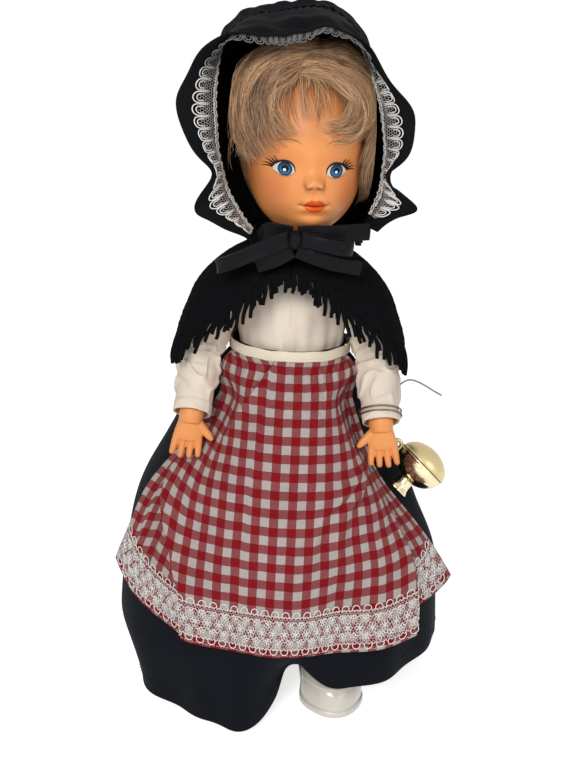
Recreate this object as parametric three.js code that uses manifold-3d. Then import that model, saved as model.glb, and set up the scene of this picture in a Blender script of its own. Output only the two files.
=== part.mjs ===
// A standing folk costume doll in millimetres: +Z is up, the doll faces -Y and its left hand is toward +X.
// A moulded body with a turning head, swinging arms and legs, and the clothes and the milk jug that it wears.
import * as THREE from "three";
import Module from "manifold-3d";

const wasm = await Module();
wasm.setup();

const DEGREE = Math.PI / 180;
const UP = new THREE.Vector3(0, 0, 1);
const FAR = 90; // cutting blocks reach beyond every piece

// Fits shared by every piece
const FIT = 0.35; // clearance between pieces that rest on each other
const CLOTH = 0.9; // thickness of skirt, apron and bonnet cloth
const LACE = 0.5; // thickness of edging lace
const RIBBON = 0.6; // thickness of ribbon and tape
const SHELL_WALL = 2.5; // wall of the moulded head and body

// Heights above the floor
const HIP_HEIGHT = 165;
const WAIST_HEIGHT = 211;
const SHOULDER_HEIGHT = 243;
const HEAD_BASE_HEIGHT = 282.5;

// Body
const HIP_HALF_WIDTH = 32;
const HIP_HALF_DEPTH = 23;
const WAIST_HALF_WIDTH = 26;
const WAIST_HALF_DEPTH = 19;
const CHEST_HALF_WIDTH = 28;
const CHEST_HALF_DEPTH = 19;
const CROTCH_HALF_WIDTH = 14.5;
const NECK_RADIUS = 9;
const NECK_COLLAR_RADIUS = 11;
const NECK_COLLAR_HEIGHT = 3;

// Head, measured from its own centre
const HEAD_HALF_WIDTH = 33;
const HEAD_HALF_DEPTH = 37;
const HEAD_HALF_HEIGHT = 47;
const HEAD_LIFT = 45.5; // centre above the head's base
const HEAD_X = 3;
const HEAD_Y = -7;
const HEAD_YAW = 7 * DEGREE; // the face looks a little toward the doll's left
const HEAD_CENTRE = new THREE.Vector3(HEAD_X, HEAD_Y, HEAD_BASE_HEIGHT + HEAD_LIFT);
const JAW_FULLNESS = 0.8; // below 1 the head stays wide under the eyes
const EYE_SPACING = 25.6;
const EYE_DROP = 8.6; // eyes below the head's centre
const MOUTH_DROP = 27;

// Hair
const HAIR_HALF_WIDTH = 39;
const HAIR_HALF_DEPTH = 42;
const HAIR_HALF_HEIGHT = 53;
const HAIR_BACK_SHIFT = 4.5; // the rear hair fills the back of the bonnet
const HAIR_RISE = 2;
const HAIR_FRONT_Y = -12; // where the fringe meets the rest of the hair
const HAIR_LOCK_RADIUS = 5;
const NAPE_RISE = 9; // end of the rear hair above the head's base
const FRINGE_HALF_WIDTH = 27;
const FRINGE_EDGE = 13; // lower edge of the fringe above the head's centre
const FRINGE_THICKNESS = 7;

// Bonnet
const BONNET_X = 1;
const BONNET_CENTRE = new THREE.Vector3(BONNET_X, HEAD_Y, HEAD_CENTRE.z);
const CROWN_HALF_WIDTH = 47;
const CROWN_HALF_DEPTH = 44;
const CROWN_HALF_HEIGHT = 66;
const CROWN_TOP_HEIGHT = 71; // the upper half is taller
const CROWN_BULGE = 0.15; // and squarer, by this share of its size between top and side
const CROWN_BACK_SHIFT = 4;
const CROWN_RISE = 2;
const CROWN_FRONT_Y = -8; // the seam of crown and brim
const BONNET_LOW_EDGE = -48.5; // below the head's centre
const BONNET_TILT = -10 * DEGREE; // its top leans toward the doll's right
const BRIM_FLARE = 12.5;
const BRIM_SIDE_FLARE = 8; // added beside the brow
const BRIM_SIDE_ANGLE = 48 * DEGREE;
const BRIM_REACH = 20; // how far the brim comes forward at the sides
const BRIM_TOP_REACH = 30;
const BRIM_TOP_FLARE = -12; // over the brow the brim slopes down
const VISOR_ANGLE = 8 * DEGREE; // the sloping part lies toward the doll's left
const BRIM_WAVE = 2.2;
const BRIM_SPAN = 139 * DEGREE; // half of the brim's arc round the face
const PINCH_LEFT_ANGLE = 110 * DEGREE; // where the brim is gathered
const PINCH_RIGHT_ANGLE = 97 * DEGREE;
const LOWER_FLARE = 6; // the brim stands out again below the gathers
const PINCH_DEPTH = 10;
const BRIM_COLUMNS = 48;
const BRIM_LACE_START = 0.25; // share of the brim's depth
const BRIM_LACE_END = 0.75;

// Ribbon bow under the chin
const BOW_HEIGHT = 284;
const BOW_Y = -46;
const RIBBON_WIDTH = 8;
const KNOT_HALF_WIDTH = 4.5;
const RIGHT_LOOP = { reach: 41, drop: 18 };
const LEFT_LOOP = { reach: 31, drop: 5 };
const RIGHT_TAIL = { reach: 20, drop: 9 };
const LEFT_TAIL = { reach: 36, drop: 9 };

// Shawl
const SHAWL_TOP_HEIGHT = 281;
const SHAWL_TOP_RADIUS = 19;
const SHAWL_SHOULDER_RADIUS = 38;
const SHAWL_SHOULDER_HEIGHT = 264;
const SHAWL_HALF_WIDTH = 67; // at the elbows
const SHAWL_HALF_DEPTH = 51;
const SHAWL_FRONT_HEIGHT = 251; // lower edge at the front
const SHAWL_SIDE_HEIGHT = 207;
const SHAWL_THICKNESS = 1.2;
const FRINGE_LENGTH = 12;
const FRINGE_BAND = 2;
const FRINGE_COUNT = 40;

// Arms
const SHOULDER_X = 30;
const SHOULDER_TILT = 6 * DEGREE; // the arm's axle points outward and this much down
const ARM_STEM_RADIUS = 5;
const ARM_FLANGE_RADIUS = 7;
const ARM_FLANGE_DEPTH = 13; // how far the plug reaches into the body
const ARM_FLANGE_THICKNESS = 2;
const ARM_ROOT = 2.5; // arm's inner face beyond the joint
const SLEEVE_ROOT = 3.4; // sleeve's inner face beyond the joint
const ARM_OFFSET = 9; // middle of the upper arm beyond the joint, along the axle
const ARM_TOP_RADIUS = 9.2;
const ELBOW_RADIUS = 8.5;
const WRIST_RADIUS = 7;
const ELBOW_X = 50;
const ELBOW_Y = -9;
const ELBOW_HEIGHT = 209;
const WRIST_X = 53.5;
const WRIST_Y = -33;
const WRIST_HEIGHT = 178;
const HAND_LENGTH = 13;
const HAND_HALF_WIDTH = 7;
const HAND_HALF_DEPTH = 3.8;
const FINGER_LENGTH = 14;
const FINGER_RADIUS = 2.1;
const FINGER_PITCH = 3.9;
const SLEEVE_TOP_RADIUS = 12.2;
const SLEEVE_ELBOW_RADIUS = 11.8;
const CUFF_RADIUS = 10.5;
const ARM_CROWN = 7.5; // top of the arm above the shoulder
const SLEEVE_CROWN = 10;

// Legs
const HIP_X = 15;
const LEG_X = 29.5;
const LEG_TOP_RADIUS = 15.5;
const LEG_ROOM = 1; // above the top of the leg in the body's recess
const LEG_TOP_INSET = 7; // the hip disc ends inside the thigh
const LEG_STEM_RADIUS = 6;
const LEG_FLANGE_RADIUS = 8.5;
const LEG_FLANGE_X = 5;
const LEG_FLANGE_THICKNESS = 3;
const THIGH_RADIUS = 14;
const KNEE_RADIUS = 11.5;
const ANKLE_RADIUS = 8.5;
const KNEE_HEIGHT = 92;
const CALF_HEIGHT = 62;
const ANKLE_HEIGHT = 34;
const FOOT_BASE = 5; // sole of the foot above the floor, on the shoe's insole
const FOOT_LENGTH = 38;
const SHOE_LENGTH = 73;
const SHOE_HEEL_Y = 15;
const SHOE_HALF_WIDTH = 17;
const SHOE_TOE_HEIGHT = 19;
const SHOE_TOP_HEIGHT = 33;
const SOLE_THICKNESS = 4;
const WELT = 1.2; // how far the sole stands out
const TOE_OUT = 8 * DEGREE;
const SOCK_TOP_HEIGHT = 58;
const SOCK_THICKNESS = 1.6;
const SOCK_CUFF = 8;

// Blouse
const BLOUSE_EASE = 3.2; // how far the blouse stands off the body
const BLOUSE_CHEST = 5; // fullness in front
const BLOUSE_NECK_HEIGHT = 263;
const BLOUSE_LOW_HEIGHT = 207;
const ARMHOLE_RADIUS = 13.5;

// Skirt
const SKIRT_WAIST_WIDTH = 32; // half
const SKIRT_WAIST_DEPTH = 27; // half
const SKIRT_HEM_WIDTH = 98.5; // half
const SKIRT_HEM_DEPTH = 84; // half
const SKIRT_SPREAD = 3.1; // how quickly the gathers spread below the waist
const SKIRT_LOW_HEM = 3;
const SKIRT_HIGH_HEM = 27; // the hem is caught up over the doll's left shoe
const HEM_TUCK_HEIGHT = 46;
const HEM_TUCK = 11; // how far the long hem turns in at the doll's right
const NOTCH_ANGLE = 7 * DEGREE;
const NOTCH_DEPTH = 30;
const NOTCH_HEIGHT = 60; // where the notch begins
const NOTCH_FULL_HEIGHT = 22;
const FOLD_COUNT = 7;
const FOLD_DEPTH = 2;
const FOLD_START = 11 * DEGREE; // a fold stands out this far to the doll's right of the front
const ARM_DENT = 18; // how far each arm presses the cloth in
const ARM_DENT_ANGLE = 61 * DEGREE;
const ARM_DENT_HEIGHT = 176;
const JUG_DENT = 21;
const JUG_DENT_ANGLE = 79 * DEGREE;
const JUG_DENT_HEIGHT = 137;

// Apron
const APRON_STANDOFF = 1.6; // between skirt and apron
const APRON_TOP_ANGLE = 72 * DEGREE; // half of its span at the waist
const APRON_HEM_ANGLE = 67 * DEGREE; // half of its span at the hem
const APRON_MID_HEM = 57;
const APRON_SIDE_RISE = 32;
const APRON_RISE_POWER = 3.2;
const APRON_LEFT_FLARE = 16; // the loose corner on the doll's left stands out
const APRON_RIGHT_FLARE = 9;
const APRON_LACE_START = 0.8; // share of the apron's drop where the lace begins
const APRON_LACE_END = 0.985;
const WAIST_TAPE_HEIGHT = 6;

// Wire and jug
const WIRE_RADIUS = 0.5;
const WIRE_TURNS = 2;
const WIRE_PITCH = 2.6;
const WIRE_END = new THREE.Vector3(91, 3, 183); // free end behind the sleeve
const WIRE_BEND = new THREE.Vector3(72, 8, 190);
const TURN_STEPS = 14;
const JUG_RADIUS = 15.6;
const JUG_BASE_HEIGHT = 11; // base half, from the seam
const JUG_NECK_RADIUS = 4.6;
const JUG_LIP_RADIUS = 6.6;
const JUG_LENGTH = 21; // seam to lip
const JUG_WALL = 1.2;
const JUG_MOUTH_DEPTH = 3; // the mouth is blind
const JUG_CENTRE = new THREE.Vector3(81, -13, 145);
const JUG_AXIS = new THREE.Vector3(-0.68, -0.25, -0.69).normalize(); // from seam to mouth
const EAR_RADIUS = 2.8; // ring that hangs on the wire
const EAR_THICKNESS = 1.2; // radius of the ring's own wire

// Small maths
const vector = (x, y, z) => new THREE.Vector3(x, y, z);
const mix = THREE.MathUtils.lerp;
const smooth = THREE.MathUtils.smoothstep;
const bell = (distance, width) => Math.exp(-0.5 * (distance / width) ** 2);

// Direction round the doll: 0 is the front and a quarter turn is its left side
const round = (angle) => vector(Math.sin(angle), -Math.cos(angle), 0);

// The same angle between minus and plus half a turn
const turned = (angle) => Math.atan2(Math.sin(angle), Math.cos(angle));

// Polar radius of an ellipse, squarer as the power grows
function ovalRadius(angle, halfWidth, halfDepth, power = 2) {
  const across = Math.abs(Math.sin(angle) / halfWidth) ** power;
  const along = Math.abs(Math.cos(angle) / halfDepth) ** power;
  return (across + along) ** (-1 / power);
}

// Value at x on the straight lines through the [x, value] stations
function profile(stations, x) {
  const rising = stations[0][0] < stations[stations.length - 1][0];
  const line = rising ? stations : [...stations].reverse();
  const next = line.findIndex((station) => station[0] >= x);
  if (next <= 0) {
    return next === 0 ? line[0][1] : line[line.length - 1][1];
  }
  const [before, after] = [line[next - 1], line[next]];
  return mix(before[1], after[1], (x - before[0]) / (after[0] - before[0]));
}

// Closed triangle surface from points and faces, turned so that it faces out
function surfaceBody(points, faces) {
  const volume = faces.reduce((sum, [a, b, c]) => {
    return sum + points[a].dot(points[b].clone().cross(points[c]));
  }, 0);
  const outward = volume < 0 ? faces.map(([a, b, c]) => [a, c, b]) : faces;
  const geometry = new THREE.BufferGeometry();
  const coordinates = points.flatMap((point) => point.toArray());
  geometry.setAttribute("position", new THREE.Float32BufferAttribute(coordinates, 3));
  geometry.setIndex(outward.flat());
  return geometry;
}

// Solid through a stack of closed rings, capped at both ends
function loft(rings) {
  const count = rings[0].length;
  const points = rings.flat();
  const faces = [];
  rings.forEach((ring, r) => {
    ring.forEach((point, i) => {
      const a = r * count + i;
      const b = r * count + ((i + 1) % count);
      if (r + 1 < rings.length) {
        faces.push([a, b, a + count], [b, b + count, a + count]);
      }
    });
  });
  [0, rings.length - 1].forEach((r) => {
    const hub = points.length;
    points.push(rings[r].reduce((sum, point) => sum.add(point), vector(0, 0, 0)).divideScalar(count));
    for (let i = 0; i < count; i += 1) {
      const a = r * count + i;
      const b = r * count + ((i + 1) % count);
      faces.push(r === 0 ? [hub, b, a] : [hub, a, b]);
    }
  });
  return surfaceBody(points, faces);
}

// Ring of an oval round a centre, in the plane of two directions
function ovalRing(centre, across, along, count = 16) {
  return Array.from({ length: count }, (_, i) => {
    const angle = (2 * Math.PI * i) / count;
    const point = centre.clone();
    return point.addScaledVector(across, Math.cos(angle)).addScaledVector(along, Math.sin(angle));
  });
}

// Round tube with a radius at each point of a path
function limb(path, radii, count = 12) {
  const curve = new THREE.CatmullRomCurve3(path);
  const rings = path.map((point, i) => {
    const tangent = curve.getTangent(i / (path.length - 1));
    const across = vector(0, 1, 0).cross(tangent).normalize();
    const along = tangent.clone().cross(across);
    return ovalRing(point, across.multiplyScalar(radii[i]), along.multiplyScalar(radii[i]), count);
  });
  return loft(rings);
}

// Outward normal of a cloth surface whose u runs round the doll and whose v runs down
function clothNormal(surface, u, v) {
  const step = 0.002;
  const down = surface(u, Math.min(1, v + step)).sub(surface(u, Math.max(0, v - step)));
  const around = surface(u + step, v).sub(surface(u - step, v));
  return down.cross(around).normalize();
}

// The same surface moved outward along its normals
function raised(surface, distance) {
  return (u, v) => surface(u, v).addScaledVector(clothNormal(surface, u, v), distance);
}

// Thin solid between a cloth surface and the same surface moved inward
function cloth(surface, columns, rows, thickness, closed = false) {
  const across = closed ? columns : columns + 1;
  const outer = [];
  const inner = [];
  for (let j = 0; j <= rows; j += 1) {
    for (let i = 0; i < across; i += 1) {
      const point = surface(i / columns, j / rows);
      outer.push(point);
      inner.push(point.clone().addScaledVector(clothNormal(surface, i / columns, j / rows), -thickness));
    }
  }
  const faces = [];
  for (let j = 0; j < rows; j += 1) {
    for (let i = 0; i < columns; i += 1) {
      const a = j * across + i;
      const b = j * across + ((i + 1) % across);
      faces.push([a, a + across, b], [b, a + across, b + across]);
    }
  }
  return surfaceBody([...outer, ...inner], closedFaces(faces, outer.length));
}

// Both sides of an open surface, and the walls along its edges
function closedFaces(faces, shift) {
  const edges = faces.flatMap(([a, b, c]) => [[a, b], [b, c], [c, a]]);
  const directed = new Set(edges.map(([a, b]) => `${a},${b}`));
  const walls = edges
    .filter(([a, b]) => !directed.has(`${b},${a}`))
    .flatMap(([a, b]) => [[b, a, a + shift], [b, a + shift, b + shift]]);
  return [...faces, ...faces.map(([a, b, c]) => [a + shift, c + shift, b + shift]), ...walls];
}

// Flat ribbon along a path, with its width in one direction
function ribbon(path, widthDirection, width, steps = 12) {
  const curve = new THREE.CatmullRomCurve3(path);
  const strip = (u, v) => {
    const point = curve.getPoint(THREE.MathUtils.clamp(v, 0, 1));
    return point.addScaledVector(widthDirection, (u - 0.5) * width);
  };
  return cloth(strip, 2, steps, RIBBON);
}

// Ball scaled to three half sizes
function ball(halfX, halfY, halfZ, segments = 20) {
  return new THREE.SphereGeometry(1, segments, Math.round(segments * 0.6)).scale(halfX, halfY, halfZ);
}

// Round bar between two points
function bar(from, to, radius, segments = 20) {
  const middle = from.clone().add(to).multiplyScalar(0.5);
  const turn = new THREE.Quaternion().setFromUnitVectors(vector(0, 1, 0), to.clone().sub(from).normalize());
  const geometry = new THREE.CylinderGeometry(radius, radius, from.distanceTo(to), segments);
  return geometry.applyQuaternion(turn).translate(...middle.toArray());
}

// Box between two opposite corners
function block(low, high) {
  const size = high.clone().sub(low);
  const middle = low.clone().add(high).multiplyScalar(0.5);
  return new THREE.BoxGeometry(...size.toArray()).translate(...middle.toArray());
}

// Welded solid of a geometry, for joining and cutting
function solidOf(geometry) {
  const plain = geometry.index ? geometry.toNonIndexed() : geometry;
  const mesh = new wasm.Mesh({
    numProp: 3,
    vertProperties: new Float32Array(plain.attributes.position.array),
    triVerts: Uint32Array.from({ length: plain.attributes.position.count }, (_, i) => i),
  });
  mesh.merge();
  return new wasm.Manifold(mesh);
}

function geometryOf(solid) {
  const mesh = solid.getMesh();
  const geometry = new THREE.BufferGeometry();
  geometry.setAttribute("position", new THREE.BufferAttribute(mesh.vertProperties, 3));
  return geometry.setIndex(new THREE.BufferAttribute(mesh.triVerts, 1));
}

const join = (...bodies) => geometryOf(wasm.Manifold.union(bodies.map(solidOf)));
const cut = (body, ...tools) => geometryOf(solidOf(body).subtract(wasm.Manifold.union(tools.map(solidOf))));

// Body shell with its neck post, arm holes and leg holes
const TORSO_STATIONS = [
  [HIP_HEIGHT - 17, HIP_HALF_WIDTH - 11, HIP_HALF_DEPTH - 6],
  [HIP_HEIGHT, HIP_HALF_WIDTH - 2, HIP_HALF_DEPTH - 1],
  [HIP_HEIGHT + 18, HIP_HALF_WIDTH, HIP_HALF_DEPTH],
  [WAIST_HEIGHT, WAIST_HALF_WIDTH, WAIST_HALF_DEPTH],
  [SHOULDER_HEIGHT - 13, CHEST_HALF_WIDTH, CHEST_HALF_DEPTH],
  [SHOULDER_HEIGHT, CHEST_HALF_WIDTH, CHEST_HALF_DEPTH],
  [SHOULDER_HEIGHT + 12, CHEST_HALF_WIDTH - 2, CHEST_HALF_DEPTH - 3],
  [SHOULDER_HEIGHT + 19, NECK_RADIUS + 4, NECK_RADIUS + 2],
];
const TORSO_WIDTHS = TORSO_STATIONS.map(([z, width]) => [z, width]);
const TORSO_DEPTHS = TORSO_STATIONS.map(([z, , depth]) => [z, depth]);
const COLLAR_HEIGHT = HEAD_BASE_HEIGHT + SHELL_WALL + FIT;
const CAVITY_WIDTHS = [
  [HIP_HEIGHT - 14, CROTCH_HALF_WIDTH - SHELL_WALL],
  [HIP_HEIGHT + LEG_TOP_RADIUS + 3.5, CROTCH_HALF_WIDTH - SHELL_WALL],
  [HIP_HEIGHT + LEG_TOP_RADIUS + 8, HIP_HALF_WIDTH - SHELL_WALL - 1],
  [WAIST_HEIGHT, WAIST_HALF_WIDTH - SHELL_WALL],
  [SHOULDER_HEIGHT + 12, CHEST_HALF_WIDTH - SHELL_WALL - 3],
];

const bodyRing = (z, width, depth) => ovalRing(vector(0, 0, z), vector(width, 0, 0), vector(0, depth, 0), 12);

// Axle of an arm: its joint point and its outward direction; side is 1 for the doll's left
function armAxle(side) {
  const joint = vector(side * SHOULDER_X, 0, SHOULDER_HEIGHT);
  const outward = vector(side * Math.cos(SHOULDER_TILT), 0, -Math.sin(SHOULDER_TILT));
  return { joint, at: (distance) => joint.clone().addScaledVector(outward, distance) };
}

const hipAt = (side, x) => vector(side * x, 0, HIP_HEIGHT);

function torso() {
  const rings = TORSO_STATIONS.map(([z, width, depth]) => bodyRing(z, width, depth));
  const post = [
    [SHOULDER_HEIGHT + 24, NECK_RADIUS],
    [COLLAR_HEIGHT, NECK_RADIUS],
    [COLLAR_HEIGHT, NECK_COLLAR_RADIUS],
    [COLLAR_HEIGHT + NECK_COLLAR_HEIGHT, NECK_COLLAR_RADIUS],
  ];
  const necked = loft([...rings, ...post.map(([z, radius]) => bodyRing(z, radius, radius))]);
  const cavity = loft(
    CAVITY_WIDTHS.map(([z, width]) => bodyRing(z, width, profile(TORSO_DEPTHS, z) - SHELL_WALL)),
  );
  const openings = [1, -1].flatMap((side) => [
    bar(armAxle(side).at(-ARM_FLANGE_DEPTH - 1), armAxle(side).at(4), ARM_STEM_RADIUS + FIT, 12),
    bar(hipAt(side, LEG_FLANGE_X - 1), hipAt(side, FAR), LEG_STEM_RADIUS + FIT, 12),
    block(
      vector(side === 1 ? CROTCH_HALF_WIDTH : -FAR, -FAR, HIP_HEIGHT - FAR),
      vector(side === 1 ? FAR : -CROTCH_HALF_WIDTH, FAR, HIP_HEIGHT + LEG_TOP_RADIUS + LEG_ROOM),
    ),
  ]);
  return cut(necked, cavity, ...openings);
}

// Face relief: place across, place up, spread across, spread up and height of each swelling or hollow
const FACE_RELIEF = [
  [-16.5, -24, 9, 8, 2.8],
  [16.5, -24, 9, 8, 2.8],
  [0, -28, 15, 9, 5],
  [0, -39, 7.5, 5, 3.6],
  [0, -9, 3, 6, 1.8],
  [0, -15, 3.4, 3, 5],
  [0, -MOUTH_DROP, 6, 2.6, 1.4],
  [0, 14, 18, 14, 1.5],
  [-EYE_SPACING / 2, -EYE_DROP, 7, 5, -1.6],
  [EYE_SPACING / 2, -EYE_DROP, 7, 5, -1.6],
];

// Point of the head's surface from its turn round the head and its angle down from the top
function headPoint(turn, drop, grown = 0) {
  const girth = Math.sin(drop) ** (drop > Math.PI / 2 ? JAW_FULLNESS : 1);
  const point = vector(
    HEAD_HALF_WIDTH * girth * Math.sin(turn),
    -HEAD_HALF_DEPTH * girth * Math.cos(turn),
    HEAD_HALF_HEIGHT * Math.cos(drop),
  );
  const halfSizes = vector(HEAD_HALF_WIDTH, HEAD_HALF_DEPTH, HEAD_HALF_HEIGHT);
  const normal = point.clone().divide(halfSizes).divide(halfSizes);
  const relief = FACE_RELIEF.reduce((sum, [x, z, wide, high, height]) => {
    return sum + height * bell(point.x - x, wide) * bell(point.z - z, high);
  }, 0);
  const swell = relief * smooth(-point.y, 0, 12);
  return point.addScaledVector(normal.normalize(), swell + grown);
}

function headForm(grown = 0) {
  const columns = 26;
  const rows = 15;
  const rings = Array.from({ length: rows }, (_, j) => {
    const drop = mix(0.1, Math.acos(-HEAD_LIFT / HEAD_HALF_HEIGHT), j / (rows - 1));
    return Array.from({ length: columns }, (_, i) => {
      const share = (2 * Math.PI * i) / columns;
      return headPoint(share - 0.55 * Math.sin(share), drop, grown);
    });
  });
  return loft(rings);
}

// Turned and placed as the head is
const onHead = (geometry) => geometry.rotateZ(HEAD_YAW).translate(...HEAD_CENTRE.toArray());
const onBonnet = (geometry) => geometry.rotateY(BONNET_TILT).translate(...BONNET_CENTRE.toArray());

function head() {
  const room = ball(HEAD_HALF_WIDTH - 5, HEAD_HALF_DEPTH - 5, HEAD_HALF_HEIGHT - 6, 12);
  const roomBase = HEAD_BASE_HEIGHT + SHELL_WALL;
  return cut(
    onHead(headForm()),
    onHead(room),
    bar(vector(0, 0, roomBase), vector(0, 0, roomBase + 18), NECK_COLLAR_RADIUS + 1, 14),
    bar(vector(0, 0, HEAD_BASE_HEIGHT - 5), vector(0, 0, roomBase + 5), NECK_RADIUS + FIT, 18),
    block(vector(-FAR, -FAR, HEAD_BASE_HEIGHT - FAR), vector(FAR, FAR, HEAD_BASE_HEIGHT)),
  );
}

// Hair: rear part, fringe over the forehead, and a lock beside each cheek
function hairCap() {
  const outer = ball(HAIR_HALF_WIDTH, HAIR_HALF_DEPTH, HAIR_HALF_HEIGHT, 14);
  outer.translate(0, HAIR_BACK_SHIFT, HAIR_RISE);
  const face = block(vector(-FAR, -FAR, -FAR), vector(FAR, HAIR_FRONT_Y, FAR));
  const nape = block(vector(-FAR, -FAR, -FAR), vector(FAR, FAR, NAPE_RISE - HEAD_LIFT));
  return onHead(cut(outer, face, nape, headForm(FIT)));
}

// Everything behind the seam of the rear hair
const rearHairRoom = () => block(vector(-FAR, HAIR_FRONT_Y - FIT, -FAR), vector(FAR, FAR, FAR));

function hairFringe() {
  const shape = (u, v) => {
    const x = mix(-FRINGE_HALF_WIDTH, FRINGE_HALF_WIDTH, u);
    const front = 1 - (x / HAIR_HALF_WIDTH) ** 2;
    const seam = (HAIR_FRONT_Y - FIT) / HAIR_HALF_DEPTH;
    const top = HAIR_HALF_HEIGHT * Math.sqrt(front - seam ** 2);
    const low = FRINGE_EDGE + 4 * Math.cos((2.5 * x) / FRINGE_HALF_WIDTH + 0.6);
    const z = mix(top, low, v);
    const y = -HAIR_HALF_DEPTH * Math.sqrt(Math.max(0, front - (z / HAIR_HALF_HEIGHT) ** 2));
    return vector(x, y, z);
  };
  return onHead(cut(cloth(shape, 10, 5, FRINGE_THICKNESS), headForm(FIT), rearHairRoom()));
}

function hairLock(side) {
  const path = [
    [0.5, 1, 21],
    [1, 0, 6],
    [-0.5, -3, -12],
    [-2, -6, -26],
    [-3, -6, -36],
  ].map(([out, back, z]) => {
    return vector(side * (HEAD_HALF_WIDTH + out), HAIR_FRONT_Y - HAIR_LOCK_RADIUS + back, z);
  });
  const radii = [0.75, 1, 1, 0.8, 0.3].map((share) => share * HAIR_LOCK_RADIUS);
  return onHead(cut(limb(path, radii, 8), headForm(FIT), rearHairRoom()));
}

// How much wider than an egg the crown is at an angle from its top
const crownBulge = (angle) => 1 + CROWN_BULGE * Math.max(0, Math.cos(angle)) * Math.sin(2 * angle) ** 2;

// Egg of the bonnet's crown, less some thickness
function crownForm(less) {
  const egg = ball(CROWN_HALF_WIDTH - less, CROWN_HALF_DEPTH - less, CROWN_HALF_HEIGHT - less, 22);
  const place = egg.attributes.position;
  for (let i = 0; i < place.count; i += 1) {
    const angle = Math.atan2(place.getX(i) / CROWN_HALF_WIDTH, place.getZ(i) / CROWN_HALF_HEIGHT);
    const bulge = crownBulge(angle);
    const taller = place.getZ(i) > 0 ? CROWN_TOP_HEIGHT / CROWN_HALF_HEIGHT : 1;
    place.setX(i, place.getX(i) * bulge);
    place.setZ(i, place.getZ(i) * bulge * taller);
  }
  return egg.translate(0, CROWN_BACK_SHIFT, CROWN_RISE);
}

// Bonnet crown, open in front for the face and below for the neck
function bonnetCrown() {
  const hood = cut(
    crownForm(0),
    crownForm(CLOTH),
    block(vector(-FAR, -FAR, -FAR), vector(FAR, CROWN_FRONT_Y, FAR)),
  );
  const below = block(vector(-FAR, -FAR, -FAR), vector(FAR, FAR, BONNET_LOW_EDGE));
  return cut(onBonnet(hood), below.translate(...BONNET_CENTRE.toArray()));
}

// Ruffled brim: u runs round the face from the doll's right to its left, v from the seam to the free edge
function brimPoint(u, v) {
  const angle = mix(-BRIM_SPAN, BRIM_SPAN, u);
  const seamShare = Math.sqrt(1 - ((CROWN_FRONT_Y - CROWN_BACK_SHIFT) / CROWN_HALF_DEPTH) ** 2);
  const top = smooth(Math.cos(angle - VISOR_ANGLE), 0.2, 0.95);
  const below = Math.abs(angle) - (angle > 0 ? PINCH_LEFT_ANGLE : PINCH_RIGHT_ANGLE);
  const pinch = PINCH_DEPTH * bell(below, 6 * DEGREE) - LOWER_FLARE * bell(below - 11 * DEGREE, 6 * DEGREE);
  const wave = BRIM_WAVE * v * Math.sin(9 * angle + 0.4) * (1 - top);
  const side = BRIM_SIDE_FLARE * bell(Math.abs(angle) - BRIM_SIDE_ANGLE, 0.35);
  const hanging = 1 - 0.65 * smooth(below, 8 * DEGREE, 36 * DEGREE);
  const flare = (mix(BRIM_FLARE, BRIM_TOP_FLARE, top) + side) * hanging - pinch + wave;
  const reach = mix(BRIM_REACH, BRIM_TOP_REACH, top) - wave;
  const seamX = CROWN_HALF_WIDTH * seamShare * crownBulge(angle) * Math.sin(angle);
  const height = Math.cos(angle) > 0 ? CROWN_TOP_HEIGHT : CROWN_HALF_HEIGHT;
  const seamZ = height * seamShare * crownBulge(angle) * Math.cos(angle) + CROWN_RISE;
  const level = smooth(Math.abs(angle), 1.7, 2.3); // the lower ends flare sideways
  const out = vector(mix(Math.sin(angle), Math.sign(angle), level), 0, mix(Math.cos(angle), -0.25, level));
  const seam = vector(seamX, CROWN_FRONT_Y - FIT - reach * Math.sin(v * 1.5), seamZ);
  return seam.addScaledVector(out, flare * v ** 1.3);
}

function bonnetBrim() {
  return onBonnet(cloth(brimPoint, BRIM_COLUMNS, 4, CLOTH));
}

// Lace on the face's side of the brim, along the same columns
function bonnetLace() {
  const margin = 1 / BRIM_COLUMNS;
  const strip = (u, v) => brimPoint(mix(margin, 1 - margin, u), mix(BRIM_LACE_START, BRIM_LACE_END, v));
  return onBonnet(cloth(raised(strip, -CLOTH - FIT), BRIM_COLUMNS - 2, 2, LACE));
}

// Ribbon bow: knot, two loops, two tails and the ties up to the bonnet
const bowPoint = (x, y, z) => vector(x, BOW_Y + y, BOW_HEIGHT + z);

function bowKnot() {
  return ball(KNOT_HALF_WIDTH, 3.4, KNOT_HALF_WIDTH, 12).translate(...bowPoint(0, 0, 0).toArray());
}

function bowLoop(side, { reach, drop }) {
  const start = KNOT_HALF_WIDTH + FIT;
  const path = [
    bowPoint(side * start, -0.9, 0),
    bowPoint(side * reach * 0.5, -1.6, -drop * 0.45),
    bowPoint(side * reach * 0.92, 1, -drop * 0.9),
    bowPoint(side * reach, 4.5, -drop),
    bowPoint(side * reach * 0.88, 5.6, -drop * 0.9),
    bowPoint(side * reach * 0.5, 3.6, -drop * 0.45),
    bowPoint(side * start, 1.9, 0),
  ];
  return ribbon(path, vector(side * drop * 0.6, 0, reach).normalize(), RIBBON_WIDTH);
}

function bowTail(side, { reach, drop }) {
  const path = [
    bowPoint(side * 2.5, 1, -KNOT_HALF_WIDTH - 3.9),
    bowPoint(side * reach * 0.5, 3, -KNOT_HALF_WIDTH - 3 - drop * 0.5),
    bowPoint(side * reach, 10 * (reach / 34), -KNOT_HALF_WIDTH - 3 - drop),
  ];
  return ribbon(path, vector(side * drop, 0, reach).normalize(), RIBBON_WIDTH, 6);
}

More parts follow.
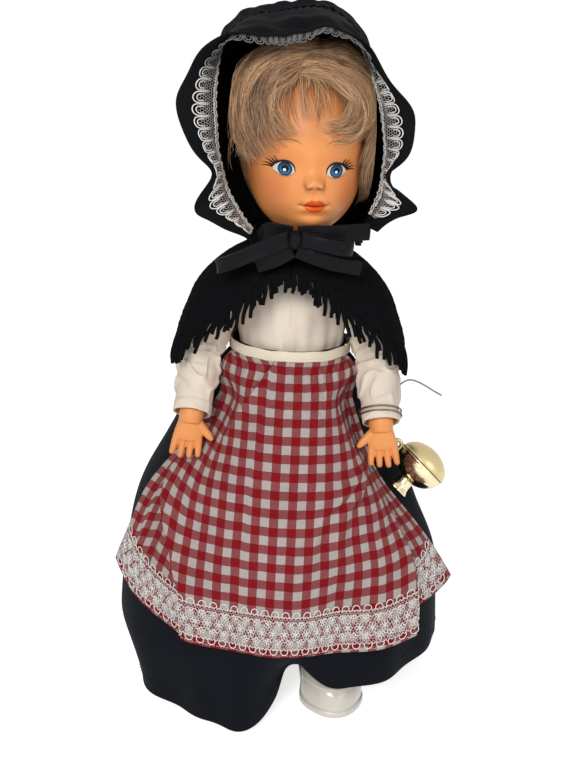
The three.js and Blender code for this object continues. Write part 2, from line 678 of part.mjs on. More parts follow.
// Tie from behind the knot to the lower end of the brim
function bonnetTie(side) {
  const width = RIBBON_WIDTH * 0.7;
  const corner = brimPoint(side === 1 ? 1 : 0, 0.55).applyAxisAngle(vector(0, 1, 0), BONNET_TILT);
  const end = corner.add(BONNET_CENTRE).addScaledVector(UP, -width / 2 - 1.4 * FIT);
  const path = [bowPoint(side * 1.2, 4.6, 0), bowPoint(side * 14, 7, -3), end];
  return ribbon(path, UP, width, 6);
}

// Shawl: round at the neck so that the head turns freely over it, wider over the arms
const SHAWL_WIDTHS = [
  [SHAWL_SIDE_HEIGHT - 20, SHAWL_HALF_WIDTH],
  [SHAWL_SIDE_HEIGHT, SHAWL_HALF_WIDTH],
  [mix(SHAWL_SIDE_HEIGHT, SHAWL_SHOULDER_HEIGHT, 0.4), SHAWL_HALF_WIDTH - 6],
  [mix(SHAWL_SIDE_HEIGHT, SHAWL_SHOULDER_HEIGHT, 0.72), SHAWL_HALF_WIDTH - 14],
  [SHAWL_SHOULDER_HEIGHT, SHAWL_SHOULDER_RADIUS],
  [mix(SHAWL_SHOULDER_HEIGHT, SHAWL_TOP_HEIGHT, 0.5), mix(SHAWL_SHOULDER_RADIUS, SHAWL_TOP_RADIUS, 0.7)],
  [SHAWL_TOP_HEIGHT, SHAWL_TOP_RADIUS],
];
const SHAWL_DEPTHS = [
  [SHAWL_SIDE_HEIGHT - 20, SHAWL_HALF_DEPTH],
  [SHAWL_SIDE_HEIGHT, SHAWL_HALF_DEPTH],
  [SHAWL_FRONT_HEIGHT - 12, SHAWL_SHOULDER_RADIUS + 2],
  [SHAWL_FRONT_HEIGHT, SHAWL_SHOULDER_RADIUS + 1],
  [SHAWL_SHOULDER_HEIGHT, SHAWL_SHOULDER_RADIUS],
  [mix(SHAWL_SHOULDER_HEIGHT, SHAWL_TOP_HEIGHT, 0.5), mix(SHAWL_SHOULDER_RADIUS, SHAWL_TOP_RADIUS, 0.7)],
  [SHAWL_TOP_HEIGHT, SHAWL_TOP_RADIUS],
];

const shawlEdge = (angle) => {
  const front = bell(Math.sin(angle / 2), 0.36);
  return mix(SHAWL_SIDE_HEIGHT, SHAWL_FRONT_HEIGHT, front) + 2 * Math.cos(3 * angle) * (1 - front);
};

function shawlAt(angle, z) {
  const squareness = mix(3, 2, smooth(z, SHAWL_FRONT_HEIGHT - 6, SHAWL_SHOULDER_HEIGHT));
  const radius = ovalRadius(angle, profile(SHAWL_WIDTHS, z), profile(SHAWL_DEPTHS, z), squareness);
  return round(angle).multiplyScalar(radius).setZ(z);
}

function shawl() {
  const surface = (u, v) => {
    const angle = 2 * Math.PI * u;
    return shawlAt(angle, mix(SHAWL_TOP_HEIGHT, shawlEdge(angle), v));
  };
  return cloth(surface, FRINGE_COUNT, 5, SHAWL_THICKNESS, true);
}

// Fringe: one comb of strands on a band, so each strand's columns run on below the band
function shawlFringe() {
  const columns = 2 * FRINGE_COUNT;
  const outer = [];
  const faces = [];
  const levels = [0, FRINGE_BAND, FRINGE_BAND + FRINGE_LENGTH];
  levels.forEach((drop, j) => {
    for (let i = 0; i < columns; i += 1) {
      const angle = (2 * Math.PI * i) / columns;
      const uneven = j === 2 ? 1.4 * Math.sin(2.5 * i) : 0;
      const root = shawlAt(angle, shawlEdge(angle) - 2 * FIT);
      outer.push(root.addScaledVector(UP, -drop - uneven));
      const a = j * columns + i;
      const b = j * columns + ((i + 1) % columns);
      if (j === 0 || (j === 1 && i % 2 === 0)) {
        faces.push([a, a + columns, b], [b, a + columns, b + columns]);
      }
    }
  });
  const used = new Set(faces.flat());
  const kept = outer.map((point, index) => index).filter((index) => used.has(index));
  const renumbered = new Map(kept.map((index, place) => [index, place]));
  const front = kept.map((index) => outer[index]);
  const back = front.map((point) => {
    const inward = vector(point.x, point.y, 0).normalize();
    return point.clone().addScaledVector(inward, -SHAWL_THICKNESS);
  });
  const comb = faces.map((face) => face.map((index) => renumbered.get(index)));
  return surfaceBody([...front, ...back], closedFaces(comb, front.length));
}

// Arm with its plug in the body, and a hand of five fingers
const elbowAt = (side) => vector(side * ELBOW_X, ELBOW_Y, ELBOW_HEIGHT);
const wristAt = (side) => vector(side * WRIST_X, WRIST_Y, WRIST_HEIGHT);
const forearmDirection = (side) => wristAt(side).sub(elbowAt(side)).normalize();
const handDirection = (side) => vector(side * 0.12, -0.3, -0.95).normalize();

// Middle line of an arm from the top of the shoulder to the wrist
function armPath(side, crown) {
  const shoulder = armAxle(side).at(ARM_OFFSET);
  const rise = shoulder.clone().sub(elbowAt(side)).normalize();
  return [
    shoulder.clone().addScaledVector(rise, crown),
    shoulder.clone().addScaledVector(rise, crown * 0.7),
    shoulder,
    shoulder.clone().lerp(elbowAt(side), 0.5),
    shoulder.clone().lerp(elbowAt(side), 0.88),
    elbowAt(side).lerp(wristAt(side), 0.25),
    elbowAt(side).lerp(wristAt(side), 0.65),
    wristAt(side),
  ];
}

// Everything on the body's side of an arm's inner face
const inboard = (side, root) => bar(armAxle(side).at(-FAR), armAxle(side).at(root), FAR, 12);

function armForm(side, grown = 0) {
  const heel = wristAt(side).addScaledVector(handDirection(side), 5);
  const path = [...armPath(side, ARM_CROWN + grown), heel];
  const radii = [
    ARM_TOP_RADIUS * 0.45,
    ARM_TOP_RADIUS * 0.8,
    ARM_TOP_RADIUS,
    ARM_TOP_RADIUS,
    ELBOW_RADIUS,
    ELBOW_RADIUS,
    WRIST_RADIUS + 0.6,
    WRIST_RADIUS,
    WRIST_RADIUS - 0.5,
  ];
  return limb(path, radii.map((radius) => radius + grown), 10);
}

function finger(root, direction, length, radius) {
  const tip = root.clone().addScaledVector(direction, length);
  const path = [root, root.clone().lerp(tip, 0.75), tip];
  return limb(path, [radius, radius * 0.95, radius * 0.5], 6);
}

function hand(side) {
  const along = handDirection(side);
  const across = vector(side, 0, 0).addScaledVector(along, -along.x * side).normalize();
  const back = across.clone().cross(along).multiplyScalar(side);
  const centre = (distance) => wristAt(side).addScaledVector(along, distance);
  const palm = [
    [0, 0.8, 1.2],
    [4, 0.95, 1.1],
    [HAND_LENGTH, 1.15, 0.9],
    [HAND_LENGTH + 2.5, 0.9, 0.55],
  ].map(([distance, wide, deep]) => {
    return ovalRing(
      centre(distance),
      across.clone().multiplyScalar(wide * HAND_HALF_WIDTH),
      back.clone().multiplyScalar(deep * HAND_HALF_DEPTH),
      10,
    );
  });
  const fingers = [-1.5, -0.5, 0.5, 1.5].map((place) => {
    const root = centre(HAND_LENGTH - 1).addScaledVector(across, place * FINGER_PITCH);
    const direction = along.clone().addScaledVector(across, place * 0.1).normalize();
    return finger(root, direction, FINGER_LENGTH - 1.2 * Math.abs(place - 0.2), FINGER_RADIUS);
  });
  const thumbRoot = centre(6).addScaledVector(across, -HAND_HALF_WIDTH * 0.8);
  const thumbDirection = along.clone().multiplyScalar(0.65).addScaledVector(across, -0.75).normalize();
  const thumb = finger(thumbRoot, thumbDirection, FINGER_LENGTH * 0.85, FINGER_RADIUS * 1.15);
  return [loft(palm), ...fingers, thumb];
}

function arm(side) {
  const axle = armAxle(side);
  const plug = axle.at(-ARM_FLANGE_DEPTH);
  return join(
    cut(armForm(side), inboard(side, ARM_ROOT)),
    bar(plug, axle.at(ARM_ROOT + 2), ARM_STEM_RADIUS, 12),
    bar(plug, axle.at(ARM_FLANGE_THICKNESS - ARM_FLANGE_DEPTH), ARM_FLANGE_RADIUS, 12),
    ...hand(side),
  );
}

function sleeve(side) {
  const radii = [
    SLEEVE_TOP_RADIUS * 0.5,
    SLEEVE_TOP_RADIUS * 0.85,
    SLEEVE_TOP_RADIUS,
    SLEEVE_TOP_RADIUS,
    SLEEVE_ELBOW_RADIUS,
    SLEEVE_ELBOW_RADIUS,
    CUFF_RADIUS + 0.6,
    CUFF_RADIUS,
  ];
  return cut(limb(armPath(side, SLEEVE_CROWN), radii, 12), armForm(side, FIT), inboard(side, SLEEVE_ROOT));
}

// Leg with its plug in the body, ending in a foot inside the shoe
function legForm(side, grown = 0) {
  const x = side * LEG_X;
  const heights = [HIP_HEIGHT, HIP_HEIGHT - 30, KNEE_HEIGHT, CALF_HEIGHT, ANKLE_HEIGHT, FOOT_BASE + 6];
  const path = heights.map((z) => vector(x, 0, z));
  const radii = [THIGH_RADIUS, THIGH_RADIUS, KNEE_RADIUS, KNEE_RADIUS, ANKLE_RADIUS, ANKLE_RADIUS];
  const foot = ball(ANKLE_RADIUS + grown, FOOT_LENGTH / 2 + grown, 8 + grown, 10);
  foot.translate(0, ANKLE_RADIUS - FOOT_LENGTH / 2, FOOT_BASE + 8);
  foot.rotateZ(side * TOE_OUT).translate(x, 0, 0);
  return join(limb(path, radii.map((radius) => radius + grown), 10), foot);
}

function leg(side) {
  return join(
    legForm(side),
    bar(hipAt(side, HIP_X), hipAt(side, LEG_X + THIGH_RADIUS - LEG_TOP_INSET), LEG_TOP_RADIUS, 18),
    bar(hipAt(side, LEG_FLANGE_X), hipAt(side, LEG_X), LEG_STEM_RADIUS, 12),
    bar(hipAt(side, LEG_FLANGE_X), hipAt(side, LEG_FLANGE_X + LEG_FLANGE_THICKNESS), LEG_FLANGE_RADIUS, 12),
  );
}

function sock(side) {
  const x = side * LEG_X;
  const low = SHOE_TOP_HEIGHT + FIT;
  const cuff = SOCK_TOP_HEIGHT - SOCK_CUFF;
  const heights = [low, low + 10, cuff - 1, cuff, SOCK_TOP_HEIGHT];
  const radii = [ANKLE_RADIUS + 1.2, ANKLE_RADIUS + 1.6, KNEE_RADIUS, KNEE_RADIUS + 1, KNEE_RADIUS + 1];
  const outer = limb(heights.map((z) => vector(x, 0, z)), radii.map((radius) => radius + SOCK_THICKNESS), 10);
  return cut(outer, legForm(side, FIT));
}

// Half width of the shoe at a share of its length from the heel
const SHOE_WIDTHS = [[0, 0.62], [0.25, 0.76], [0.5, 0.82], [0.75, 1], [1, 0.86]];
const shoeWidth = (share) => SHOE_HALF_WIDTH * profile(SHOE_WIDTHS, share);

function shoeOutline(z, grown) {
  const count = 9;
  const sides = [1, -1].map((edge) => {
    return Array.from({ length: count }, (_, i) => {
      const share = i / (count - 1);
      const rounding = Math.max(0, (share - 0.7) / 0.3, (0.16 - share) / 0.16);
      const taper = Math.sqrt(Math.max(0, 1 - rounding ** 2));
      const y = SHOE_HEEL_Y + grown - share * (SHOE_LENGTH + 2 * grown);
      return vector(edge * (shoeWidth(share) * Math.max(0.12, taper) + grown), y, z);
    });
  });
  return [...sides[0], ...sides[1].reverse()];
}

function shoe(side) {
  const sole = loft([shoeOutline(0, WELT), shoeOutline(SOLE_THICKNESS, WELT)]);
  const upper = [
    [SOLE_THICKNESS - 1, 0, 1, 1],
    [SHOE_TOE_HEIGHT * 0.62, 0, 0.98, 1],
    [SHOE_TOE_HEIGHT, 2, 0.84, 0.9],
    [SHOE_TOE_HEIGHT + 5, 8, 0.7, 0.68],
    [SHOE_TOP_HEIGHT - 3, 12, 0.68, 0.54],
    [SHOE_TOP_HEIGHT, 13, 0.7, 0.5],
  ].map(([z, shift, wide, long]) => {
    return shoeOutline(z, 0).map((point) => {
      const middle = SHOE_HEEL_Y - SHOE_LENGTH / 2;
      return vector(point.x * wide, middle + shift + (point.y - middle) * long, z);
    });
  });
  const formed = join(sole, loft(upper)).rotateZ(side * TOE_OUT).translate(side * LEG_X, 0, 0);
  return cut(formed, legForm(side, FIT));
}

// Blouse body, with an armhole at each side
function blouse() {
  const surface = (u, v) => {
    const angle = 2 * Math.PI * u;
    const z = mix(BLOUSE_NECK_HEIGHT, BLOUSE_LOW_HEIGHT, v);
    const chest = BLOUSE_CHEST * bell(turned(angle), 0.7) * bell(z - SHOULDER_HEIGHT + 14, 14);
    const radius = ovalRadius(angle, profile(TORSO_WIDTHS, z), profile(TORSO_DEPTHS, z));
    return round(angle).multiplyScalar(radius + chest).setZ(z);
  };
  const armholes = [1, -1].map((side) => {
    return bar(armAxle(side).at(-12), armAxle(side).at(30), ARMHOLE_RADIUS, 14);
  });
  return cut(cloth(raised(surface, BLOUSE_EASE), 14, 7, CLOTH, true), ...armholes);
}

// Skirt
function hemHeight(angle) {
  const side = turned(angle);
  const left = smooth(side, NOTCH_ANGLE - 0.1, NOTCH_ANGLE + 0.12) * (1 - smooth(side, 1.3, 2.6));
  const notch = 8 * bell(side - NOTCH_ANGLE, 0.12);
  return mix(SKIRT_LOW_HEM, SKIRT_HIGH_HEM, left) + notch;
}

function skirtRadius(angle, z) {
  const share = (WAIST_HEIGHT - z) / WAIST_HEIGHT;
  const spread = 1 - (1 - share) ** SKIRT_SPREAD;
  const width = mix(SKIRT_WAIST_WIDTH, SKIRT_HEM_WIDTH, spread);
  const depth = mix(SKIRT_WAIST_DEPTH, SKIRT_HEM_DEPTH, spread);
  const side = turned(angle);
  const folds = FOLD_DEPTH * share ** 1.4 * Math.cos(FOLD_COUNT * (side + FOLD_START));
  const pressed = bell(Math.abs(side) - ARM_DENT_ANGLE, 0.32) * bell(z - ARM_DENT_HEIGHT, 26);
  const arms = ARM_DENT * pressed * smooth(share, 0.01, 0.13);
  const jug = JUG_DENT * bell(side - JUG_DENT_ANGLE, 0.28) * bell(z - JUG_DENT_HEIGHT, 22);
  const notch = NOTCH_DEPTH * bell(side - NOTCH_ANGLE, 0.13) * smooth(-z, -NOTCH_HEIGHT, -NOTCH_FULL_HEIGHT);
  const tuck = HEM_TUCK * smooth(-z, -HEM_TUCK_HEIGHT, 0) * Math.max(0, -Math.sin(side)) ** 2;
  return ovalRadius(angle, width, depth) + folds - arms - jug - notch - tuck;
}

const skirtAt = (angle, z, raise = 0) => round(angle).multiplyScalar(skirtRadius(angle, z) + raise).setZ(z);

function skirt() {
  const surface = (u, v) => {
    const share = 2 * Math.PI * u;
    const angle = share - 0.5 * Math.sin(share) + NOTCH_ANGLE;
    return skirtAt(angle, mix(WAIST_HEIGHT, hemHeight(angle), v));
  };
  return cloth(surface, 56, 7, CLOTH, true);
}

// Flat band round the waist between two heights
function waistBand(low, high, grown, thickness) {
  const surface = (u, v) => {
    const angle = 2 * Math.PI * u;
    const radius = ovalRadius(angle, SKIRT_WAIST_WIDTH + grown, SKIRT_WAIST_DEPTH + grown);
    return round(angle).multiplyScalar(radius).setZ(mix(high, low, v));
  };
  return cloth(surface, 22, 1, thickness, true);
}

const TAPE_LOW = WAIST_HEIGHT - 1;
const TAPE_GROWN = APRON_STANDOFF + CLOTH;

const skirtBand = () => waistBand(WAIST_HEIGHT + FIT, WAIST_HEIGHT + WAIST_TAPE_HEIGHT - 1, 0, CLOTH);
const apronTape = () => waistBand(TAPE_LOW, TAPE_LOW + WAIST_TAPE_HEIGHT, TAPE_GROWN, RIBBON);

function apronTie() {
  const y = SKIRT_WAIST_DEPTH + TAPE_GROWN + FIT;
  const middle = TAPE_LOW + WAIST_TAPE_HEIGHT / 2;
  const knot = ball(4, 2.2, 3.6, 8).translate(0, y + 2.2, middle);
  const tails = [1, -1].map((side) => {
    const drops = [4, 14, 30].map((drop) => {
      return skirtAt(Math.PI - side * (0.06 + drop * 0.005), TAPE_LOW - drop, TAPE_GROWN);
    });
    const path = [vector(side, y + 2.4, middle), ...drops];
    return ribbon(path, vector(1, 0, 0), WAIST_TAPE_HEIGHT - 1, 5);
  });
  return join(knot, ...tails);
}

// Apron: u runs from the doll's right to its left, v from the waist to the hem
function apronPoint(u, v) {
  const half = mix(APRON_TOP_ANGLE, APRON_HEM_ANGLE, v);
  const angle = mix(-half, half, u);
  const edge = Math.abs(2 * u - 1);
  const hem = APRON_MID_HEM + APRON_SIDE_RISE * edge ** APRON_RISE_POWER;
  const z = mix(TAPE_LOW - FIT, hem, v);
  const flare = (u > 0.5 ? APRON_LEFT_FLARE : APRON_RIGHT_FLARE) * v ** 3 * edge ** 3;
  return skirtAt(angle, z, APRON_STANDOFF + CLOTH + flare);
}

const apron = () => cloth(apronPoint, 32, 8, CLOTH);

function apronLace() {
  const strip = (u, v) => apronPoint(u, mix(APRON_LACE_START, APRON_LACE_END, v));
  return cloth(raised(strip, FIT + LACE), 32, 2, LACE);
}

// Wire: from its free end behind the sleeve, wound round the cuff, to the pin through the jug's ring
function wirePath() {
  const along = forearmDirection(1);
  const outward = vector(1, 0, 0).addScaledVector(along, -along.x).normalize();
  const behind = along.clone().cross(outward).multiplyScalar(-1);
  const start = wristAt(1).addScaledVector(along, -8);
  const radius = CUFF_RADIUS + 2.2 * FIT + WIRE_RADIUS;
  const steps = WIRE_TURNS * TURN_STEPS;
  const turns = Array.from({ length: steps + 1 }, (_, i) => {
    const angle = (i / steps) * WIRE_TURNS * 2 * Math.PI + Math.PI / 2;
    const centre = start.clone().addScaledVector(along, (i / TURN_STEPS) * WIRE_PITCH);
    const reach = outward.clone().multiplyScalar(Math.cos(angle) * radius);
    return centre.add(reach).addScaledVector(behind, Math.sin(angle) * radius);
  });
  const above = start.clone().addScaledVector(along, -9);
  const pin = earCentre();
  return [
    WIRE_END,
    WIRE_BEND,
    above.addScaledVector(behind, CUFF_RADIUS + 6).addScaledVector(outward, 6),
    ...turns,
    pin.clone().add(vector(-9, 12, 7)),
    pin.clone().add(vector(-1.5, 9, 1)),
    pin.clone().add(vector(0, 4, 0)),
    pin.clone().add(vector(0, -4, 0)),
  ];
}

// Least gap between the turns of a wound tube, measured on points along its middle line
function leastGap(curve, radius) {
  const count = 500;
  const points = curve.getSpacedPoints(count);
  const near = Math.ceil((10 * radius * count) / curve.getLength());
  const gaps = points.flatMap((point, i) => points.slice(i + near).map((other) => point.distanceTo(other)));
  return gaps.reduce((least, gap) => Math.min(least, gap), Infinity) - 2 * radius;
}

function wristWire() {
  const curve = new THREE.CatmullRomCurve3(wirePath());
  console.log(`wrist_wire: least gap to itself ${leastGap(curve, WIRE_RADIUS).toFixed(2)} mm`);
  const sides = 6;
  const rim = Array.from({ length: sides }, (_, i) => {
    const angle = (2 * Math.PI * i) / sides;
    return new THREE.Vector2(Math.cos(angle), Math.sin(angle)).multiplyScalar(WIRE_RADIUS);
  });
  return new THREE.ExtrudeGeometry(new THREE.Shape(rim), { steps: 64, extrudePath: curve });
}

// Jug: two turned halves that meet at the seam, and the ring that hangs on the wire
const jugTurn = new THREE.Quaternion().setFromUnitVectors(vector(0, 1, 0), JUG_AXIS);
const EAR_REACH = JUG_RADIUS + EAR_RADIUS + EAR_THICKNESS + FIT;
const EAR_DIRECTION = vector(-0.79, 0, 0.61).normalize();
const earCentre = () => JUG_CENTRE.clone().addScaledVector(EAR_DIRECTION, EAR_REACH);
const placedOnJug = (geometry) => geometry.applyQuaternion(jugTurn).translate(...JUG_CENTRE.toArray());
const turnedProfile = (points) => {
  return new THREE.LatheGeometry(points.map(([r, y]) => new THREE.Vector2(r, y)), 18);
};

function arc(startAngle, endAngle, halfWidth, halfHeight, count) {
  return Array.from({ length: count + 1 }, (_, i) => {
    const angle = mix(startAngle, endAngle, i / count);
    return [halfWidth * Math.cos(angle), halfHeight * Math.sin(angle)];
  });
}

function jugShoulder() {
  const rise = JUG_LENGTH * 0.62;
  const neckAngle = Math.acos(JUG_NECK_RADIUS / JUG_RADIUS);
  const inside = arc(neckAngle, 0, JUG_RADIUS - JUG_WALL, rise - JUG_WALL, 4);
  const outside = arc(0, neckAngle, JUG_RADIUS, rise, 7);
  return placedOnJug(
    turnedProfile([
      [0, rise - JUG_WALL],
      ...[...inside, ...outside].map(([r, y]) => [r, y + FIT / 2]),
      [JUG_NECK_RADIUS + 0.3, JUG_LENGTH - 4],
      [JUG_LIP_RADIUS, JUG_LENGTH - 0.6],
      [JUG_LIP_RADIUS - 0.4, JUG_LENGTH],
      [JUG_NECK_RADIUS - 0.4, JUG_LENGTH - JUG_MOUTH_DEPTH],
      [0, JUG_LENGTH - JUG_MOUTH_DEPTH],
    ]),
  );
}

function jugBase() {
  const edge = -75 * DEGREE;
  const outside = arc(edge, 0, JUG_RADIUS, JUG_BASE_HEIGHT, 6);
  const inside = arc(0, edge, JUG_RADIUS - JUG_WALL, JUG_BASE_HEIGHT - JUG_WALL, 4);
  return placedOnJug(
    turnedProfile([
      [0, -JUG_BASE_HEIGHT],
      ...[...outside, ...inside].map(([r, y]) => [r, y - FIT / 2]),
      [0, JUG_WALL - JUG_BASE_HEIGHT],
    ]),
  );
}

function jugRing() {
  const ring = new THREE.TorusGeometry(EAR_RADIUS, EAR_THICKNESS, 6, 12).rotateX(Math.PI / 2);
  return ring.translate(...earCentre().toArray());
}

// Colour, roughness and metalness of each material
const FINISHES = {
  vinyl: [0xd9925f, 0.5, 0],
  body_plastic: [0xe0b08a, 0.55, 0],
  hair: [0xc9ae84, 0.6, 0],
  black_cotton: [0x16161a, 0.9, 0],
  black_ribbon: [0x0c0c0e, 0.5, 0],
  black_knit: [0x111113, 0.95, 0],
  white_cotton: [0xeee9df, 0.9, 0],
  gingham: [0xc2384a, 0.85, 0],
  white_lace: [0xf2efe8, 0.8, 0],
  white_plastic: [0xf0efea, 0.25, 0],
  wire: [0x4a4238, 0.45, 1],
  brass: [0xb8995a, 0.35, 1],
};

const doll = new THREE.Group();
doll.name = "folk_costume_doll";

function add(name, finish, geometry) {
  const [color, roughness, metalness] = FINISHES[finish];
  const mesh = new THREE.Mesh(geometry, new THREE.MeshStandardMaterial({ color, roughness, metalness }));
  mesh.name = name;
  doll.add(mesh);
}

add("torso", "body_plastic", torso());
add("head", "vinyl", head());
add("hair_cap", "hair", hairCap());
add("hair_fringe", "hair", hairFringe());
add("bonnet_crown", "black_cotton", bonnetCrown());
add("bonnet_brim", "black_cotton", bonnetBrim());
add("bonnet_lace", "white_lace", bonnetLace());
add("bow_knot", "black_ribbon", bowKnot());
add("bow_loop_right", "black_ribbon", bowLoop(-1, RIGHT_LOOP));
add("bow_loop_left", "black_ribbon", bowLoop(1, LEFT_LOOP));
add("bow_tail_right", "black_ribbon", bowTail(-1, RIGHT_TAIL));
add("bow_tail_left", "black_ribbon", bowTail(1, LEFT_TAIL));
add("shawl", "black_knit", shawl());
add("shawl_fringe", "black_knit", shawlFringe());
add("blouse", "white_cotton", blouse());
add("skirt", "black_cotton", skirt());
add("skirt_band", "black_cotton", skirtBand());
add("apron", "gingham", apron());
add("apron_lace", "white_lace", apronLace());
add("apron_tape", "white_cotton", apronTape());
add("apron_tie", "white_cotton", apronTie());
[["left", 1], ["right", -1]].forEach(([name, side]) => {
  add(`hair_lock_${name}`, "hair", hairLock(side));
  add(`bonnet_tie_${name}`, "black_ribbon", bonnetTie(side));
  add(`${name}_arm`, "vinyl", arm(side));
  add(`${name}_sleeve`, "white_cotton", sleeve(side));
  add(`${name}_leg`, "body_plastic", leg(side));
  add(`${name}_sock`, "white_cotton", sock(side));
  add(`${name}_shoe`, "white_plastic", shoe(side));
});
add("wrist_wire", "wire", wristWire());
add("jug_base", "brass", jugBase());
add("jug_shoulder", "brass", jugShoulder());
add("jug_ring", "brass", jugRing());

export default doll;
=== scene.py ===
# %% [markdown]
# # A folk costume doll
#
# The doll is a moulded toy about 40 cm tall, dressed in sewn and knitted clothes. The CAD model gives the
# sizes, the joints and the plain solids; this notebook gives each piece the form that it has in the hand:
# cloth with folds and hems, threads of lace, strands of hair, a painted face, moulded fingers, worn brass.
# Lengths are in millimetres until a mesh is made, because that is how a doll maker's patterns are marked.
# Left and right are the doll's own.

# %%
import math
import bpy
import numpy as np
from mathutils import Matrix, Vector
from mathutils.bvhtree import BVHTree


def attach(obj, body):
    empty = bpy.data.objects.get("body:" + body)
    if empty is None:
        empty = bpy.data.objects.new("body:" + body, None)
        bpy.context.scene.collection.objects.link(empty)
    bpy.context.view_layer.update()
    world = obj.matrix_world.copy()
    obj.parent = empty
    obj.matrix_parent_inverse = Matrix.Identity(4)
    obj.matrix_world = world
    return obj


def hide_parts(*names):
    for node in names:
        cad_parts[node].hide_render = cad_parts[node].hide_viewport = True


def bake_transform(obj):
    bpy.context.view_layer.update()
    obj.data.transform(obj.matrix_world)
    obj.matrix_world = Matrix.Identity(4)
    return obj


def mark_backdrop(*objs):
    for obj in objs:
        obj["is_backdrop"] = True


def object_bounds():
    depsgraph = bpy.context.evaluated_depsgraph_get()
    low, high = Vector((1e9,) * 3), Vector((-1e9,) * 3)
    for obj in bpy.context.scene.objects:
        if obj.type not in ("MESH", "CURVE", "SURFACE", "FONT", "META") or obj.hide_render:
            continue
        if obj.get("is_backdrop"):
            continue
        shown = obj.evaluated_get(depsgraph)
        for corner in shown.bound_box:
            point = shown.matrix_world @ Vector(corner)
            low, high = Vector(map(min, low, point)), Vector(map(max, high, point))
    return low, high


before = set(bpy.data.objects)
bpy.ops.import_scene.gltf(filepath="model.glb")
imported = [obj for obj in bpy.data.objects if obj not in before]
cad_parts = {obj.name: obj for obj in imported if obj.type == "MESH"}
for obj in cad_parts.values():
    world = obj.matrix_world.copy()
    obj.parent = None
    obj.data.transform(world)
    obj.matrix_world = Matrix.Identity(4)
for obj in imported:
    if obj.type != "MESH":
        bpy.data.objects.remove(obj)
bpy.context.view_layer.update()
scene = bpy.context.scene
MM = 0.001
TURN = 2 * math.pi
SIDES = (("left", 1), ("right", -1))

# %% [markdown]
# ## Camera
# The doll was photographed from a little above, at arm's length, with the camera slightly rolled.

# %%
CAMERA_PLACE = Vector((0, -680, 430))
CAMERA_PITCH = math.radians(19.7)
CAMERA_ROLL = math.radians(2.8)
LENS = 57.7
camera_data = bpy.data.cameras.new("camera")
camera_data.lens = LENS
camera = bpy.data.objects.new("camera", camera_data)
aim = Matrix.Rotation(math.pi / 2 - CAMERA_PITCH, 4, "X") @ Matrix.Rotation(CAMERA_ROLL, 4, "Z")
camera.matrix_world = Matrix.Translation(CAMERA_PLACE * MM) @ aim
scene.collection.objects.link(camera)
scene.camera = camera
scene.view_settings.view_transform = "Standard"
print("camera", [round(x, 3) for x in camera.location])

# %% [markdown]
# ## Small maths
# Cloth, hair and moulded skin are all described by formulas: a point of the surface for each pair of shares
# (u round the doll, v down the cloth). A handful of helpers keeps those formulas short.

# %%
def mix(a, b, share):
    return a + (b - a) * share


def smooth(x, low, high):
    share = np.clip((x - low) / (high - low), 0, 1)
    return share * share * (3 - 2 * share)


def bell(distance, width):
    return np.exp(-0.5 * (distance / width) ** 2)


def vec(x, y, z):
    return np.stack(np.broadcast_arrays(*[np.asarray(n, float) for n in (x, y, z)]), -1)


def unit(v):
    return v / np.maximum(np.linalg.norm(v, axis=-1, keepdims=True), 1e-9)


def turned(angle):
    return np.arctan2(np.sin(angle), np.cos(angle))


def round_doll(angle, radius, z):
    return vec(radius * np.sin(angle), -radius * np.cos(angle), z)


def oval(angle, half_width, half_depth, power=2.0):
    across = np.abs(np.sin(angle) / half_width) ** power
    return (across + np.abs(np.cos(angle) / half_depth) ** power) ** (-1 / power)


def rotated(points, axis, degrees):
    return points @ np.array(Matrix.Rotation(math.radians(degrees), 3, axis)).T


def hermite(knots, values, x):
    slopes = np.gradient(values, knots, axis=0)
    i = np.clip(np.searchsorted(knots, x, side="right") - 1, 0, len(knots) - 2)
    shape = np.shape(x) + (1,) * (values.ndim - 1)
    step = (knots[i + 1] - knots[i]).reshape(shape)
    s = ((x - knots[i]).reshape(shape)) / step
    near = (1 + 2 * s) * (1 - s) ** 2 * values[i] + s * (1 - s) ** 2 * step * slopes[i]
    return near + s * s * (3 - 2 * s) * values[i + 1] + s * s * (s - 1) * step * slopes[i + 1]


def distances(path):
    """How far along a path each of its points lies."""
    return np.concatenate([[0], np.cumsum(np.linalg.norm(np.diff(path, axis=0), axis=1))])


def spline(points, count):
    points = np.asarray(points, float)
    knots = distances(points)
    return hermite(knots, points, np.linspace(0, knots[-1], count))


def profile(stations, x):
    stations = np.array(sorted(map(tuple, stations)), float)
    x = np.clip(np.asarray(x, float), stations[0, 0], stations[-1, 0])
    return hermite(stations[:, 0], stations[:, 1], x)


def ripple(x, y, scale, seed, waves=7):
    """A smooth uneven height between about -1 and 1, the same at every run."""
    dice = np.random.default_rng(seed)
    total = np.zeros(np.broadcast(x, y).shape)
    for _ in range(waves):
        heading = dice.uniform(0, TURN)
        pace = dice.uniform(0.6, 1.7) * TURN / scale
        total += np.sin(pace * (math.cos(heading) * x + math.sin(heading) * y) + dice.uniform(0, 6.3))
    return total / math.sqrt(waves)


print("helpers ready; a spline through 3 points:", spline([(0, 0, 0), (1, 1, 0), (2, 0, 0)], 3).tolist())

# %% [markdown]
# ## Meshes
# `surface` makes a grid from a formula, `tubes` sweeps many threads at once, and `piece` turns either into an
# object that rides on a body of the doll. Texture places are kept in millimetres of flat cloth, so that a
# 5 mm check is a 5 mm check wherever the cloth goes.

# %%
def grid_faces(columns, rows, closed):
    across = columns if closed else columns + 1
    i, j = np.meshgrid(np.arange(columns), np.arange(rows))
    a = j * across + i
    b = j * across + (i + 1) % across
    return np.stack([a, a + across, b + across, b], -1).reshape(-1, 4)


